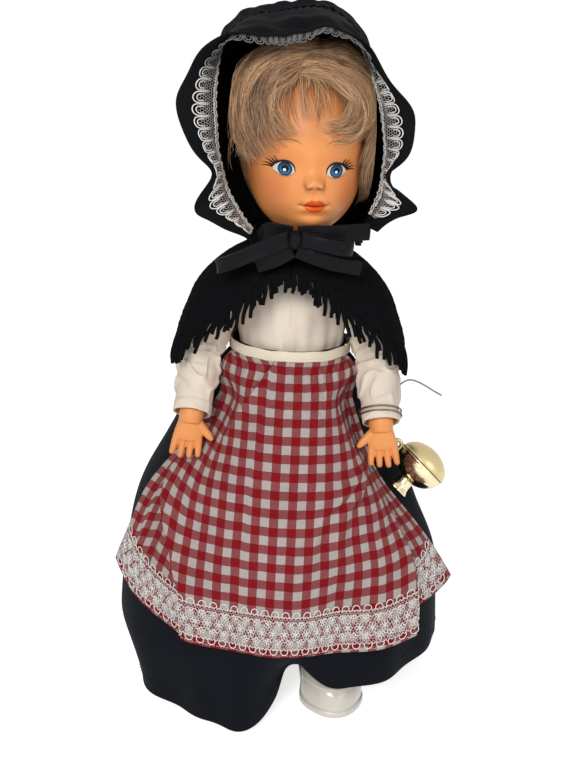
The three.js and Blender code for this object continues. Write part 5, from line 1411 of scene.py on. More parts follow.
def shawl_edge(angle):
    front = bell(np.sin(angle / 2), 0.36)
    opening = SHAWL_OPENING * bell(turned(angle), 0.62)
    return mix(SHAWL_SIDE, SHAWL_FRONT, front) + opening + 2 * np.cos(3 * angle) * (1 - front)


def shawl_at(angle, z, out=0.0):
    power = mix(3, 2, smooth(z, SHAWL_FRONT - 6, SHAWL_SHOULDER))
    radius = oval(angle, profile(SHAWL_WIDTHS, z), profile(SHAWL_DEPTHS, z), power)
    return round_doll(angle, radius + out, z)


def shawl_half(side):
    def shape(u, v):
        angle = (-math.pi if side < 0 else 0.0) + math.pi * u
        z = mix(SHAWL_TOP, shawl_edge(angle), v)
        drape = 1.1 * np.cos(11 * angle + 0.7) * smooth(v, 0.15, 0.9) * (1 - 0.6 * bell(angle, 0.5))
        loops = 0.35 * np.sin(angle * 190) * np.sin(v * 150) + 0.3 * ripple(angle * 300, v * 260, 7, 51)
        return shawl_at(angle, z, np.clip(drape, -0.9, 2) + loops)
    return shape


def follows_arm(made):
    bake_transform(made)


for name, side in SIDES:
    half_shawl = cloth(f"shawl_{name}_half", shawl_half(side), 190, 110, KNIT, None, SHAWL_THICKNESS)
    follows_arm(half_shawl)
    stands_for(half_shawl, "black_knit", "shawl")
    declare(half_shawl)

# %% [markdown]
# The fringe is knotted into the shawl's edge: strands of the same yarn of uneven length, in loose pairs,
# longer at the sides. A crocheted cord runs along the edge above them.

# %%
STRANDS_PER_HALF = 92
for name, side in SIDES:
    dice = np.random.default_rng(60 + side)
    spot = (np.arange(STRANDS_PER_HALF) + 0.5) / STRANDS_PER_HALF
    angle = side * math.pi * (spot + dice.normal(0, 0.002, STRANDS_PER_HALF))
    longest = FRINGE_LENGTH + 3 * smooth(np.abs(np.sin(angle)), 0.4, 1.0)
    length = longest * dice.uniform(0.6, 1.05, STRANDS_PER_HALF)
    share = np.linspace(0, 1, 9)[None]
    pair = 0.012 * side * np.where(np.arange(STRANDS_PER_HALF) % 2 == 0, 1, -1)[:, None]
    swing = dice.normal(0, 0.03, (STRANDS_PER_HALF, 1))
    curl = 0.008 * np.sin(share * dice.uniform(4, 9, (STRANDS_PER_HALF, 1)) + spot[:, None] * 99)
    strand_angle = angle[:, None] + (pair + swing) * share**1.3 + curl
    root_z = shawl_edge(angle)[:, None] + 1.0
    out = -0.7 + 0.5 * np.sin(share * 3) + dice.uniform(-0.5, 0.9, (STRANDS_PER_HALF, 1)) * share
    path = shawl_at(strand_angle, root_z - share * length[:, None], out)
    yarn = np.interp(np.linspace(0, 1, 9), (0, 0.15, 0.8, 1), (1.25, 1.0, 1.1, 0.95))
    strands = tubes(path, yarn, 6, (0, 1, 0.2))
    rim_angle = side * np.linspace(0, math.pi, 240)
    wobble = 0.25 * np.sin(np.arange(240) * 1.9)
    rim = shawl_at(rim_angle, shawl_edge(rim_angle) + 0.6 + wobble, -0.3)[None]
    fringe = piece(f"shawl_{name}_fringe", *joined(strands, tubes(rim, 1.0, 7)), YARN_STRAND, None)
    follows_arm(fringe)
    stands_for(fringe, "black_knit", "shawl_fringe")
print(2 * STRANDS_PER_HALF, "fringe strands")

# %% [markdown]
# ## Blouse
# A white cotton blouse fills the gap between shawl and apron. It is one gathered tube round the chest, with
# a hole for each arm, so it is a ring of cloth whose faces are left out round the two shoulder axles.

# %%
SHOULDER_HEIGHT = 243.0
SHOULDER_X = 30.0
SHOULDER_TILT = math.radians(6)
TORSO = np.array([
    (148, 21, 17), (165, 30, 22), (183, 32, 23), (211, 26, 19),
    (230, 28, 19), (243, 28, 19), (255, 26, 16), (262, 13, 11)], float)
BLOUSE_TOP, BLOUSE_LOW = 263.0, 207.0
BLOUSE_EASE, BLOUSE_CHEST = 3.2, 5.0
ARMHOLE = 13.5


def shoulder_axle(side):
    joint = np.array([side * SHOULDER_X, 0, SHOULDER_HEIGHT])
    return joint, np.array([side * math.cos(SHOULDER_TILT), 0, -math.sin(SHOULDER_TILT)])


def blouse_point(u, v):
    angle = TURN * u
    z = mix(BLOUSE_TOP, BLOUSE_LOW, v)
    radius = oval(angle, profile(TORSO[:, :2], z), profile(TORSO[:, [0, 2]], z))
    chest = BLOUSE_CHEST * bell(turned(angle), 0.7) * bell(z - SHOULDER_HEIGHT + 14, 14)
    gathers = 0.45 * np.sin(21 * angle + 1.6 * np.sin(5 * angle)) * smooth(v, 0.5, 0.95)
    creases = 0.9 * ripple(angle * 30, z * 0.5, 19, 71)
    return round_doll(angle, radius + chest + BLOUSE_EASE + gathers + creases, z)


points, faces, flat = surface(blouse_point, 220, 60, closed=True)
centres = points[np.array(faces)].mean(1)
keep = np.ones(len(faces), bool)
for side in (1, -1):
    joint, outward = shoulder_axle(side)
    reach = centres - joint
    far = np.linalg.norm(np.cross(reach, outward), axis=1)
    keep &= ~((far < ARMHOLE) & (centres[:, 0] * side > 0))
flat = flat.reshape(-1, 4, 2)[keep].reshape(-1, 2)
kept_faces = np.array(faces)[keep]
used, renumbered = np.unique(kept_faces, return_inverse=True)
blouse = piece("blouse_cloth", points[used], renumbered.reshape(-1, 4).tolist(), WHITE_COTTON, "body", flat)
thickened(blouse, CLOTH)
stands_for(blouse, "white_cotton", "blouse")
declare(blouse)

# %% [markdown]
# ## Sleeves
# Each sleeve is a tube sewn into the armhole and hemmed at the wrist. The tube follows the bent arm, with
# creases packed into the crook of the elbow and a turned hem with its row of stitches.

# %%
ELBOW = np.array([50.0, -9.0, 209.0])
WRIST = np.array([53.5, -33.0, 178.0])
ARM_OFFSET = 9.0
SLEEVE_RADII = [6.1, 10.37, 12.2, 12.2, 11.8, 11.8, 11.1, 10.5]
SLEEVE_CROWN, SLEEVE_ROOT = 10.0, 3.4


def mirrored(point, side):
    return point * np.array([side, 1, 1])


def arm_path(side, crown):
    joint, outward = shoulder_axle(side)
    shoulder = joint + outward * ARM_OFFSET
    elbow, wrist = mirrored(ELBOW, side), mirrored(WRIST, side)
    rise = unit(shoulder - elbow)
    return np.array([
        shoulder + rise * crown, shoulder + rise * crown * 0.7, shoulder, mix(shoulder, elbow, 0.5),
        mix(shoulder, elbow, 0.88), mix(elbow, wrist, 0.25), mix(elbow, wrist, 0.65), wrist])


def along_path(path, values, share):
    """Places, frames and values along a smooth path, by share of its length."""
    path = np.asarray(path, float)
    knots = distances(path)
    fine = np.linspace(0, knots[-1], 400)
    line = hermite(knots, path, fine)
    heading = unit(np.gradient(line, axis=0))
    i = np.clip((share * 399).round().astype(int), 0, 399)
    value = hermite(knots, np.asarray(values, float), np.clip(share * knots[-1], 0, knots[-1]))
    return line[i], heading[i], value


def sleeve_point(side):
    joint, outward = shoulder_axle(side)
    path = arm_path(side, SLEEVE_CROWN)
    def shape(u, v):
        centre, heading, radius = along_path(path, SLEEVE_RADII, v)
        aside = unit(np.cross(heading, np.array([0, -1.0, 0.35]))) * side
        front = np.cross(heading, aside) * side
        turn = TURN * u * side
        crook = 0.5 + 0.5 * np.cos(turn - 0.3)
        packed = sum(h * bell(v - at - 0.012 * np.sin(turn * 2 + at * 40), 0.011) for at, h in
                     ((0.52, 1.0), (0.575, -1.1), (0.615, 1.1), (0.66, -0.8), (0.70, 0.6)))
        twist = 1 - np.abs(ripple(turn * 9 + v * 26, v * 60 - turn * 4, 19, 84 + side))
        creases = packed * (0.4 + 0.6 * crook) + 2.2 * (twist**4 - 0.3) * smooth(v, 0.25, 0.45)
        gathers = 0.35 * np.sin(26 * turn) * bell(v - 0.2, 0.1)
        hem = 0.3 * smooth(v, 0.925, 0.932) - 0.3 * smooth(v, 0.985, 1.0) - 0.25 * bell(v - 0.922, 0.006)
        quiet = 1 - 0.75 * smooth(v, 0.8, 0.93)
        reach = radius + (creases + gathers) * quiet + hem
        spoke = front * np.cos(turn)[..., None] + aside * np.sin(turn)[..., None]
        point = centre + spoke * reach[..., None]
        inside = np.minimum((point - joint) @ outward - SLEEVE_ROOT, 0)
        return point - inside[..., None] * outward
    return shape


for name, side in SIDES:
    arm, shape = f"{name}_arm", sleeve_point(side)
    sleeve = cloth(f"{name}_sleeve_cloth", shape, 110, 130, WHITE_COTTON, arm, CLOTH, closed=True)
    stands_for(sleeve, "white_cotton", f"{name}_sleeve")
    declare(sleeve)
    stitches(f"{name}_cuff_stitches", shape, 0.926, 0.0, 0.985, 34, 0.0, TAPE_THREAD, arm)

# %% [markdown]
# ## Arms and hands
# Arms are moulded vinyl like the head, with a plug that snaps into the body. Fingers, palm and forearm are
# drawn as separate rounded limbs, fused by a fine voxel skin and smoothed, which leaves the soft webs of a
# moulded hand.

# %%
ARM_RADII = [4.14, 7.36, 9.2, 9.2, 8.5, 8.5, 7.6, 7.0, 6.5]
ARM_CROWN = 7.5
HAND_LENGTH, HAND_WIDTH, HAND_DEPTH = 13.0, 7.0, 3.8
FINGER_LENGTH, FINGER_RADIUS, FINGER_PITCH = 14.0, 2.05, 3.9
VOXEL = 0.42


def limb(path, radii, sides=20, steps=30, up=(0.2, 0.9, 0.1)):
    line = spline(path, steps)
    knots = distances(np.asarray(path))
    wide = np.interp(np.linspace(0, knots[-1], steps), knots, radii)
    return tubes(line[None], wide[None], sides, up)


def oval_limb(centres, across, wide, back, deep, sides=24):
    """A closed loft of ovals that all lie in the same directions."""
    turn = np.linspace(0, TURN, sides, endpoint=False)
    rings = [c + np.cos(turn)[:, None] * across * w + np.sin(turn)[:, None] * back * d
             for c, w, d in zip(centres, wide, deep)]
    points = np.concatenate(rings)
    faces = grid_faces(sides, len(rings) - 1, True).tolist()
    return points, faces + [list(range(sides)), list(range(len(points) - sides, len(points)))[::-1]]


def hand_heading(side):
    """The way that the fingers point."""
    return unit(np.array([0.12 * side, -0.3, -0.95]))


def arm_limbs(side):
    joint, outward = shoulder_axle(side)
    wrist = mirrored(WRIST, side)
    along = hand_heading(side)
    across = unit(np.array([side, 0, 0]) - along * along[0] * side)
    back = np.cross(across, along) * side
    limbs = [limb([*arm_path(side, ARM_CROWN), wrist + along * 5], ARM_RADII)]
    limbs.append(limb([joint - outward * 13, joint + outward * 4.5], [5, 5], steps=6))
    limbs.append(limb([joint - outward * 13, joint - outward * 11], [7, 7], steps=3))
    table = np.array([(-2, 0.72, 1.3), (4, 0.95, 1.15), (9, 1.1, 1.0), (13, 1.15, 0.86), (15.5, 0.95, 0.6)])
    palm = [wrist + along * d + back * 0.02 * d for d in table[:, 0]]
    limbs.append(oval_limb(palm, across, table[:, 1] * HAND_WIDTH, back, table[:, 2] * HAND_DEPTH))
    for place in (-1.5, -0.5, 0.5, 1.5):
        root = wrist + along * (HAND_LENGTH - 3) + across * place * FINGER_PITCH
        heading = unit(along + across * place * 0.08)
        length = FINGER_LENGTH + 2 - 1.2 * abs(place - 0.2)
        path = [root, root + heading * length * 0.4 + back * 0.9, root + heading * length * 0.72 + back * 0.5,
                root + heading * length * 0.94 - back * 0.6, root + heading * length - back * 1.0]
        radii = np.array([1.0, 1.08, 0.94, 0.8, 0.42]) * FINGER_RADIUS
        limbs.append(limb(path, radii, 14, 18, across))
    root = wrist + along * 5 - across * HAND_WIDTH * 0.7
    heading = unit(along * 0.65 - across * 0.75)
    path = [root, root + heading * 5 + back * 0.4, root + heading * 9.5, root + heading * 12.4 - back * 0.4]
    limbs.append(limb(path, np.array([1.35, 1.25, 1.05, 0.5]) * FINGER_RADIUS, 14, 18, back))
    return joined(*limbs)


def fused(name, points, faces, finish, body):
    """One smooth skin round several limbs that pass into each other."""
    rough = piece(name + "_limbs", points, faces, finish, None)
    skin = rough.modifiers.new("skin", "REMESH")
    skin.mode = "VOXEL"
    skin.voxel_size = VOXEL * MM
    relax = rough.modifiers.new("relax", "SMOOTH")
    relax.factor = 0.5
    relax.iterations = 7
    done = bpy.data.meshes.new_from_object(rough.evaluated_get(bpy.context.evaluated_depsgraph_get()))
    bpy.data.objects.remove(rough)
    done.name = name
    done.shade_smooth()
    made = bpy.data.objects.new(name, done)
    scene.collection.objects.link(made)
    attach(made, body)
    return made


for name, side in SIDES:
    arm = fused(f"{name}_arm_skin", *arm_limbs(side), SKIN, f"{name}_arm")
    places = np.array([vertex.co for vertex in arm.data.vertices]) / MM
    along = hand_heading(side)
    mark(arm, "blush", 0.3 * smooth((places - mirrored(WRIST, side)) @ along, 10, 26))
    stands_for(arm, "vinyl", f"{name}_arm")
print("arm faces", len(arm.data.polygons))

# %% [markdown]
# ## Skirt
# The skirt is a full circle of dark cotton gathered into a band. Its radius is a formula of angle and
# height: an oval that spreads from the waist, folds that deepen toward the hem, hollows where arms and jug
# press it in, and the notch where the hem is caught up over the doll's left shoe.

# %%
WAIST = 211.0
SKIRT_WAIST_WIDTH, SKIRT_WAIST_DEPTH = 32.0, 27.0
SKIRT_HEM_WIDTH, SKIRT_HEM_DEPTH = 98.5, 84.0
SKIRT_SPREAD = 3.1
SKIRT_LOW_HEM, SKIRT_HIGH_HEM = 3.0, 30.0
NOTCH_ANGLE = math.radians(7)
NOTCH_DEPTH = 30.0
FOLD_COUNT, FOLD_DEPTH = 7, 2.0
FOLD_START = math.radians(11)
ARM_DENT, ARM_DENT_ANGLE, ARM_DENT_HEIGHT = 18.0, math.radians(61), 176.0
JUG_DENT, JUG_DENT_ANGLE, JUG_DENT_HEIGHT = 21.0, math.radians(79), 137.0
HEM_TUCK, HEM_TUCK_HEIGHT = 11.0, 46.0


def hem_height(angle):
    side = turned(angle)
    left = smooth(side, NOTCH_ANGLE - 0.1, NOTCH_ANGLE + 0.12) * (1 - smooth(side, 1.3, 2.6))
    return mix(SKIRT_LOW_HEM, SKIRT_HIGH_HEM, left) + 12 * bell(side - NOTCH_ANGLE, 0.12)


def skirt_radius(angle, z):
    share = np.clip((WAIST - z) / WAIST, 0, 1)
    spread = 1 - (1 - share) ** SKIRT_SPREAD
    side = turned(angle)
    half_width = mix(SKIRT_WAIST_WIDTH, SKIRT_HEM_WIDTH, spread)
    base = oval(angle, half_width, mix(SKIRT_WAIST_DEPTH, SKIRT_HEM_DEPTH, spread))
    folds = FOLD_DEPTH * share**1.4 * np.cos(FOLD_COUNT * (side + FOLD_START))
    pressed_in = bell(np.abs(side) - ARM_DENT_ANGLE, 0.32) * bell(z - ARM_DENT_HEIGHT, 26)
    arms = ARM_DENT * pressed_in * smooth(share, 0.01, 0.13)
    jug = JUG_DENT * bell(side - JUG_DENT_ANGLE, 0.28) * bell(z - JUG_DENT_HEIGHT, 22)
    notch = NOTCH_DEPTH * bell(side - NOTCH_ANGLE, 0.13) * smooth(-z, -60, -22)
    tuck = HEM_TUCK * smooth(-z, -HEM_TUCK_HEIGHT, 0) * np.maximum(0, -np.sin(side)) ** 2
    return base + folds - arms - jug - notch - tuck


def skirt_at(angle, z, out=0.0):
    return round_doll(angle, skirt_radius(angle, z) + out, z)


def skirt_point(u, v):
    around = TURN * u
    angle = around - 0.5 * np.sin(around) + NOTCH_ANGLE
    z = mix(WAIST, hem_height(angle), v)
    free = smooth(np.abs(turned(angle)), 1.1, 1.6)
    low = smooth(v, 0.72, 0.95)
    gathers = 0.8 * np.sin(46 * angle) * bell(v, 0.12)
    creases = (1.4 * free + 0.35) * ripple(angle * 50, v * 90, 44, 91) * smooth(v, 0.05, 0.4)
    edge = low * 1.1 * np.sin(17 * angle + 1.3 * np.sin(3 * angle)) - 0.9 * (1 - 0.6 * free)
    held_in = np.where(v < 0.72, np.minimum(creases, 1.0 + free), creases)
    return skirt_at(angle, z, np.minimum(gathers, 0) + held_in + edge)


skirt = cloth("skirt_cloth", skirt_point, 420, 110, NAVY_COTTON, "body", CLOTH, closed=True)
stands_for(skirt, "black_cotton", "skirt")
declare(skirt)
stitches("skirt_hem_stitches", skirt_point, 0.955, 0.002, 0.998, 190, 0.05, BLACK_THREAD, "body", radius=0.22)


def waist_band(low, high, grown, wave):
    def shape(u, v):
        angle = TURN * u
        radius = oval(angle, SKIRT_WAIST_WIDTH + grown, SKIRT_WAIST_DEPTH + grown)
        sway = wave * ripple(angle * 30, v * 3, 21, 93)
        return round_doll(angle, radius + 0.6 * sway, mix(high, low, v) + sway)
    return shape


skirt_band = cloth(
    "skirt_band_cloth", waist_band(211.35, 215.2, 0, 0.0), 120, 4, NAVY_COTTON, "body", CLOTH, closed=True)
stands_for(skirt_band, "black_cotton", "skirt_band")
print("skirt hem from", SKIRT_LOW_HEM, "to", SKIRT_HIGH_HEM, "mm")

# %% [markdown]
# ## Apron
# A rectangle of gingham gathered into a white tape. Its folds are what make it look like cloth: one pleat
# that runs out of the tape, a front panel that bulges over both wings, and a crease where the left hand
# pushes it. Each fold is a line down the cloth, given by the share across at some shares down.

# %%
APRON_STANDOFF = 1.6
APRON_TOP_ANGLE, APRON_HEM_ANGLE = math.radians(72), math.radians(67)
APRON_MID_HEM, APRON_SIDE_RISE, APRON_RISE_POWER = 57.0, 32.0, 3.2
APRON_LEFT_FLARE, APRON_RIGHT_FLARE = 16.0, 9.0
TAPE_LOW = WAIST - 1
TAPE_GROWN = APRON_STANDOFF + CLOTH
PLEAT = [(0, 0.40), (0.06, 0.35), (0.19, 0.25), (0.3, 0.21), (0.5, 0.15)]
RIGHT_EDGE = [(0.3, 0.02), (0.4, 0.02), (0.5, 0.05), (0.6, 0.13), (0.7, 0.19), (0.82, 0.235), (1, 0.245)]
CREASE = [(0.3, 0.93), (0.36, 0.88), (0.41, 0.76), (0.48, 0.66), (0.57, 0.63), (0.7, 0.62)]
LEFT_EDGE = [(0.3, 0.95), (0.55, 0.925), (0.7, 0.895), (0.82, 0.885), (1, 0.872)]
FOLD_SHARPNESS = 0.005
PLEAT_TUCK = 9.0


def fold_line(stations, v):
    down, across = np.array(stations).T
    return np.interp(v, down, across)


def overlap(distance, reach):
    """A roll of cloth that ends in a sharp edge: nothing before the edge, then a swell that dies away."""
    return smooth(distance, -FOLD_SHARPNESS, FOLD_SHARPNESS) * np.exp(-np.maximum(distance, 0) / reach)


def apron_point(u, v):
    half = mix(APRON_TOP_ANGLE, APRON_HEM_ANGLE, v)
    angle = mix(-half, half, u)
    edge = np.abs(2 * u - 1)
    wing = smooth(u - fold_line(LEFT_EDGE, v), -FOLD_SHARPNESS, FOLD_SHARPNESS)
    hem = APRON_MID_HEM + APRON_SIDE_RISE * edge**APRON_RISE_POWER
    hem = hem + mix(-5 * smooth(u, 0.62, 0.86), 5 * (1 - smooth(u, 0.88, 1)), wing)
    z = mix(TAPE_LOW + 1.4, hem, v)
    flare = np.where(u > 0.5, APRON_LEFT_FLARE, APRON_RIGHT_FLARE) * v**3 * edge**3
    gathers = 0.4 * (1 + np.sin(TURN * 17 * u + 3 * np.sin(9 * u))) * bell(v - 0.05, 0.05)
    pleat = 3.4 * overlap(u - fold_line(PLEAT, v), 0.05) * smooth(v, 0, 0.03) * (1 - smooth(v, 0.16, 0.36))
    right = 7.0 * overlap(u - fold_line(RIGHT_EDGE, v), 0.08)
    right = right * smooth(v, 0.38, 0.6) * (1 - 0.55 * smooth(v, 0.7, 1))
    left = 6.5 * overlap(fold_line(LEFT_EDGE, v) - u, 0.06) * smooth(v, 0.55, 0.75)
    beside = u - fold_line(CREASE, v)
    crease = (5.0 * bell(beside + 0.04, 0.024) + 4.0 * bell(beside - 0.035, 0.022)) * smooth(v, 0.33, 0.42)
    crease = crease * (1 - smooth(v, 0.56, 0.76))
    drape = 1.5 * (1 + np.sin(TURN * (3.6 * u + 0.3 * v)))
    drape = drape * smooth(v, 0.45, 0.95) * (1 - smooth(edge, 0.45, 0.7))
    soft = 0.9 * (1 + ripple(u * 190, v * 90, 45, 97)) * smooth(v, 0.1, 0.45)
    out = mix(1.6, TAPE_GROWN, smooth(v, 0.004, 0.03)) + flare + gathers * smooth(v, 0.01, 0.03)
    return skirt_at(angle, z, out + pleat + right + left + crease + drape + soft)


print("apron hem at", APRON_MID_HEM, "mm in the middle")

# %% [markdown]
# The cut is measured along the cloth from the middle line; the width that is left over near the waist is
# hidden in the folds, where the pattern jumps, and beside the folds it runs parallel to the side hems.

# %%
def apron_cut(u, v, points):
    steps = np.linalg.norm(np.diff(points, axis=1), axis=2)
    across = np.concatenate([np.zeros((len(u), 1)), np.cumsum(steps, axis=1)], 1)
    across = across - across[:, [u.shape[1] // 2]]
    drops = np.linalg.norm(np.diff(points, axis=0), axis=2)
    down = np.concatenate([np.zeros((1, u.shape[1])), np.cumsum(drops, axis=0)], 0)
    spare_right = across[:, [0]] - across[:, 0].min()
    spare_left = across[:, -1].max() - across[:, [-1]]
    def beyond(stations, sign):
        return smooth(sign * (u - fold_line(stations, v)), -FOLD_SHARPNESS, FOLD_SHARPNESS)
    tuck = PLEAT_TUCK * (1 - smooth(v, 0, 0.4))
    flat = across - tuck * beyond(PLEAT, -1) - (spare_right - tuck) * beyond(RIGHT_EDGE, -1)
    flat = flat + spare_left * beyond(LEFT_EDGE, 1)
    return np.stack([flat - flat.min(), down], -1)


apron = cloth("apron_cloth", apron_point, 400, 160, GINGHAM, "body", CLOTH, cut=apron_cut)
stands_for(apron, "gingham", "apron")
declare(apron)
stitches("apron_hem_stitches", apron_point, 0.99, 0.01, 0.99, 110, 0.05, TAPE_THREAD, "body")

# %% [markdown]
# ## Waist tape
# The tape is coarse woven cotton, sewn on with one line of stitches. It is tied at the back in a flat knot
# with two hanging ends.

# %%
TAPE_WIDTH = 6
KNOT_Y = SKIRT_WAIST_DEPTH + TAPE_GROWN + 0.5
KNOT_Z = TAPE_LOW + TAPE_WIDTH / 2
tape_point = waist_band(TAPE_LOW, TAPE_LOW + TAPE_WIDTH, TAPE_GROWN + 0.5, 0.25)
tape = cloth("apron_tape_cloth", tape_point, 240, 10, TAPE_COTTON, "body", TAPE_THICKNESS, closed=True)
stands_for(tape, "white_cotton", "apron_tape")
stitches("tape_stitches", tape_point, 0.72, 0.0, 0.993, 120, 0.0, TAPE_THREAD, "body")
tie_knot = knot(
    "apron_tie_knot", (4, 2.3, 3.6), (0, KNOT_Y + 2.2, KNOT_Z), ((0.06, 4, 2),), 36, 22, TAPE_COTTON, "body")
stands_for(tie_knot, "white_cotton", "apron_tie")
for name, side in SIDES:
    drops = np.array([4.0, 10.0, 18.0, 30.0])
    hanging = skirt_at(math.pi - side * (0.06 + drops * 0.005), TAPE_LOW - drops, TAPE_GROWN + 0.8)
    path = np.concatenate([[[side, KNOT_Y + 2.4, KNOT_Z]], hanging])
    ribbon(f"apron_tie_{name}_end", path, (1, 0, 0), 5.0, "apron_tie", "white_cotton", TAPE_COTTON, "body")
print("tape", TAPE_WIDTH, "mm wide at", TAPE_LOW, "mm")

# %% [markdown]
# ## Apron lace
# A broad machine lace is sewn over the apron's hem: a hexagonal ground, rows of flowers, and picot loops
# along both edges, with a narrow line of gingham left below.

# %%
APRON_LACE_LENGTH, APRON_LACE_WIDTH = 268.0, 28.0
FLOWER_PITCH, PICOT_PITCH = 8.0, 7.6


def flowers(length, pitch, level, petals, reach, turn=0.0):
    """Closed petal loops round centres along one line."""
    sweep = np.linspace(0, TURN, 13)
    lines = []
    for along in np.arange(pitch / 2, length, pitch):
        for k in range(petals):
            angle = TURN * k / petals + turn
            far, wide = reach * (0.55 - 0.45 * np.cos(sweep)), 0.3 * reach * np.sin(sweep)
            lines.append(np.stack([
                along + far * np.cos(angle) - wide * np.sin(angle),
                level + far * np.sin(angle) + wide * np.cos(angle)], -1))
    return np.array(lines)


apron_lace_place = laid(
    apron_point, 0.004, 0.996, lambda u: 0.812, lambda u: 0.995, APRON_LACE_LENGTH, APRON_LACE_WIDTH, 0.35)
net = hex_net(APRON_LACE_LENGTH, 20.0, 1.9)
net[..., 1] += 4.0
parts = [threads(apron_lace_place, net, 0.11, sides=3)]
for level, petals, reach, turned_by in ((9.0, 5, 2.7, 0.3), (14.2, 6, 3.2, 0.0), (19.6, 5, 2.7, 1.1)):
    blooms = flowers(APRON_LACE_LENGTH, FLOWER_PITCH, level, petals, reach, turned_by)
    blooms[..., 0] += FLOWER_PITCH / 2 * (petals == 5)
    parts.append(threads(apron_lace_place, blooms, 0.18, 0.2))
for foot, tip in ((23.5, 26.6), (4.4, 1.3)):
    picots = arches(APRON_LACE_LENGTH, PICOT_PITCH, foot, tip, 2.5)
    parts.append(threads(apron_lace_place, picots, 0.27, 0.15))
for level, pitch, height in ((23.4, 3.0, 0.5), (4.4, 3.0, 0.5), (7.6, 4.5, 0.8), (18.2, 4.5, 0.8)):
    parts.append(threads(apron_lace_place, wavy(APRON_LACE_LENGTH, level, pitch, height), 0.22, 0.15))
apron_lace = piece("apron_lace_threads", *joined(*parts), LACE, "body")
stands_for(apron_lace, "white_lace", "apron_lace")
declare(apron_lace, (APRON_LACE_LENGTH, APRON_LACE_WIDTH))

# %% [markdown]
# ## Body, legs and socks
# The body and legs are blow-moulded plastic and stay hidden under the clothes, so their CAD solids are kept
# and only given a finish. The socks are knitted tubes with ribs and a turned cuff.

# %%
for name in ("torso", "left_leg", "right_leg"):
    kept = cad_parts[name]
    kept.data.materials.clear()
    kept.data.materials.append(BODY_PLASTIC)
    kept.data.shade_smooth()

LEG_X = 29.5
SOCK_LOW, SOCK_TOP, SOCK_CUFF = 33.35, 58.0, 50.0
SOCK_RADII = [
    (SOCK_LOW, 11.3), (43.35, 11.7), (SOCK_CUFF - 1, 13.1), (SOCK_CUFF + 0.4, 14.1), (SOCK_TOP, 14.1)]


def sock_point(side):
    def shape(u, v):
        angle = TURN * u
        z = mix(SOCK_TOP, SOCK_LOW, v)
        ribs = 0.28 * np.cos(34 * angle) + 0.12 * np.cos(z * 5.2)
        rolled = -1.0 * smooth(z, SOCK_TOP - 1.0, SOCK_TOP) ** 2
        return round_doll(angle, profile(SOCK_RADII, z) + ribs + rolled, z) + (side * LEG_X, 0, 0)
    return shape


for name, side in SIDES:
    sock = cloth(f"{name}_sock_knit", sock_point(side), 204, 70, SOCK_KNIT, f"{name}_leg", 1.4, closed=True)
    stands_for(sock, "white_cotton", f"{name}_sock")
    declare(sock)

# %% [markdown]
# ## Shoes
# Each shoe is one moulding of glossy white plastic: a flat sole with a welt, a rounded toe, a quarter that
# rises to the ankle, and a moulded tongue with ridges for laces. It is lofted from one outline that grows
# shorter as it rises.

# %%
SHOE_LENGTH, SHOE_HEEL_Y, SHOE_HALF_WIDTH = 76.0, 15.0, 18.4
SHOE_TOE, SHOE_TOP = 19.0, 33.0
SOLE, WELT = 4.0, 1.2
TOE_OUT = 8.0
SHOE_COLUMNS, UPPER_ROWS, SOLE_ROWS = 160, 70, 15
SHOE_WIDTHS = [(0, 0.62), (0.25, 0.76), (0.5, 0.82), (0.75, 1), (1, 0.86)]
SHOE_LEVELS = np.array([
    (SOLE - 0.5, 0, 1), (SHOE_TOE * 0.35, -0.2, 1.0), (SHOE_TOE * 0.62, 0, 1), (SHOE_TOE, 2, 0.9),
    (SHOE_TOE + 5, 8, 0.68), (SHOE_TOP - 3, 12, 0.54), (SHOE_TOP, 13, 0.5)])


def shoe_outline(u, grown):
    """Across and back of the sole's outline, once round from the heel."""
    angle = TURN * u
    share = 0.5 - 0.5 * np.cos(angle)
    rounding = np.maximum(0, np.maximum((share - 0.7) / 0.3, (0.16 - share) / 0.16))
    taper = np.sqrt(np.maximum(0, 1 - rounding**2))
    wide = SHOE_HALF_WIDTH * profile(SHOE_WIDTHS, share) * taper + grown * np.abs(np.sin(angle))
    return np.sign(np.sin(angle)) * wide, SHOE_HEEL_Y + grown - share * (SHOE_LENGTH + 2 * grown)


def shoe_upper(u, v):
    knots = np.arange(float(len(SHOE_LEVELS)))
    z, shift, long = np.moveaxis(hermite(knots, SHOE_LEVELS, v * knots[-1]), -1, 0)
    x, y = shoe_outline(u, 0)
    middle = SHOE_HEEL_Y - SHOE_LENGTH / 2
    y = middle + shift + (y - middle) * long
    front = bell(x, 7.5) * smooth(-y, 8, 14) * smooth(z, 15.5, 17) * (1 - smooth(z, 31, 32.5))
    laces = 0.7 * front * (0.5 + 0.5 * np.cos((z - 17) * TURN / 3.6)) ** 2
    collar = 0.6 * bell(z - SHOE_TOP + 1.2, 0.8)
    seam = -0.35 * bell(z - 9.5 - 6 * smooth(-y, 14, 44), 0.5) * smooth(-y, -20, 44)
    lift = laces + collar + seam
    return vec(x, y, z) + unit(vec(x, (y - middle) * 0.5, 0)) * lift[..., None] + vec(0, 0, laces * 0.8)


def shoe_sole(u, v):
    path = np.array([
        (0, 0.0), (WELT - 0.5, 0.0), (WELT, 0.5), (WELT, SOLE - 0.6), (WELT - 0.5, SOLE), (-1.2, SOLE)])
    knots = np.arange(len(path))
    grown, z = (np.interp(v * knots[-1], knots, path[:, i]) for i in (0, 1))
    x, y = shoe_outline(u, grown)
    tread = 0.18 * np.cos(TURN * 60 * u) * bell(z - SOLE / 2, 1.0)
    return vec(x * (1 + tread / 30), y, z)


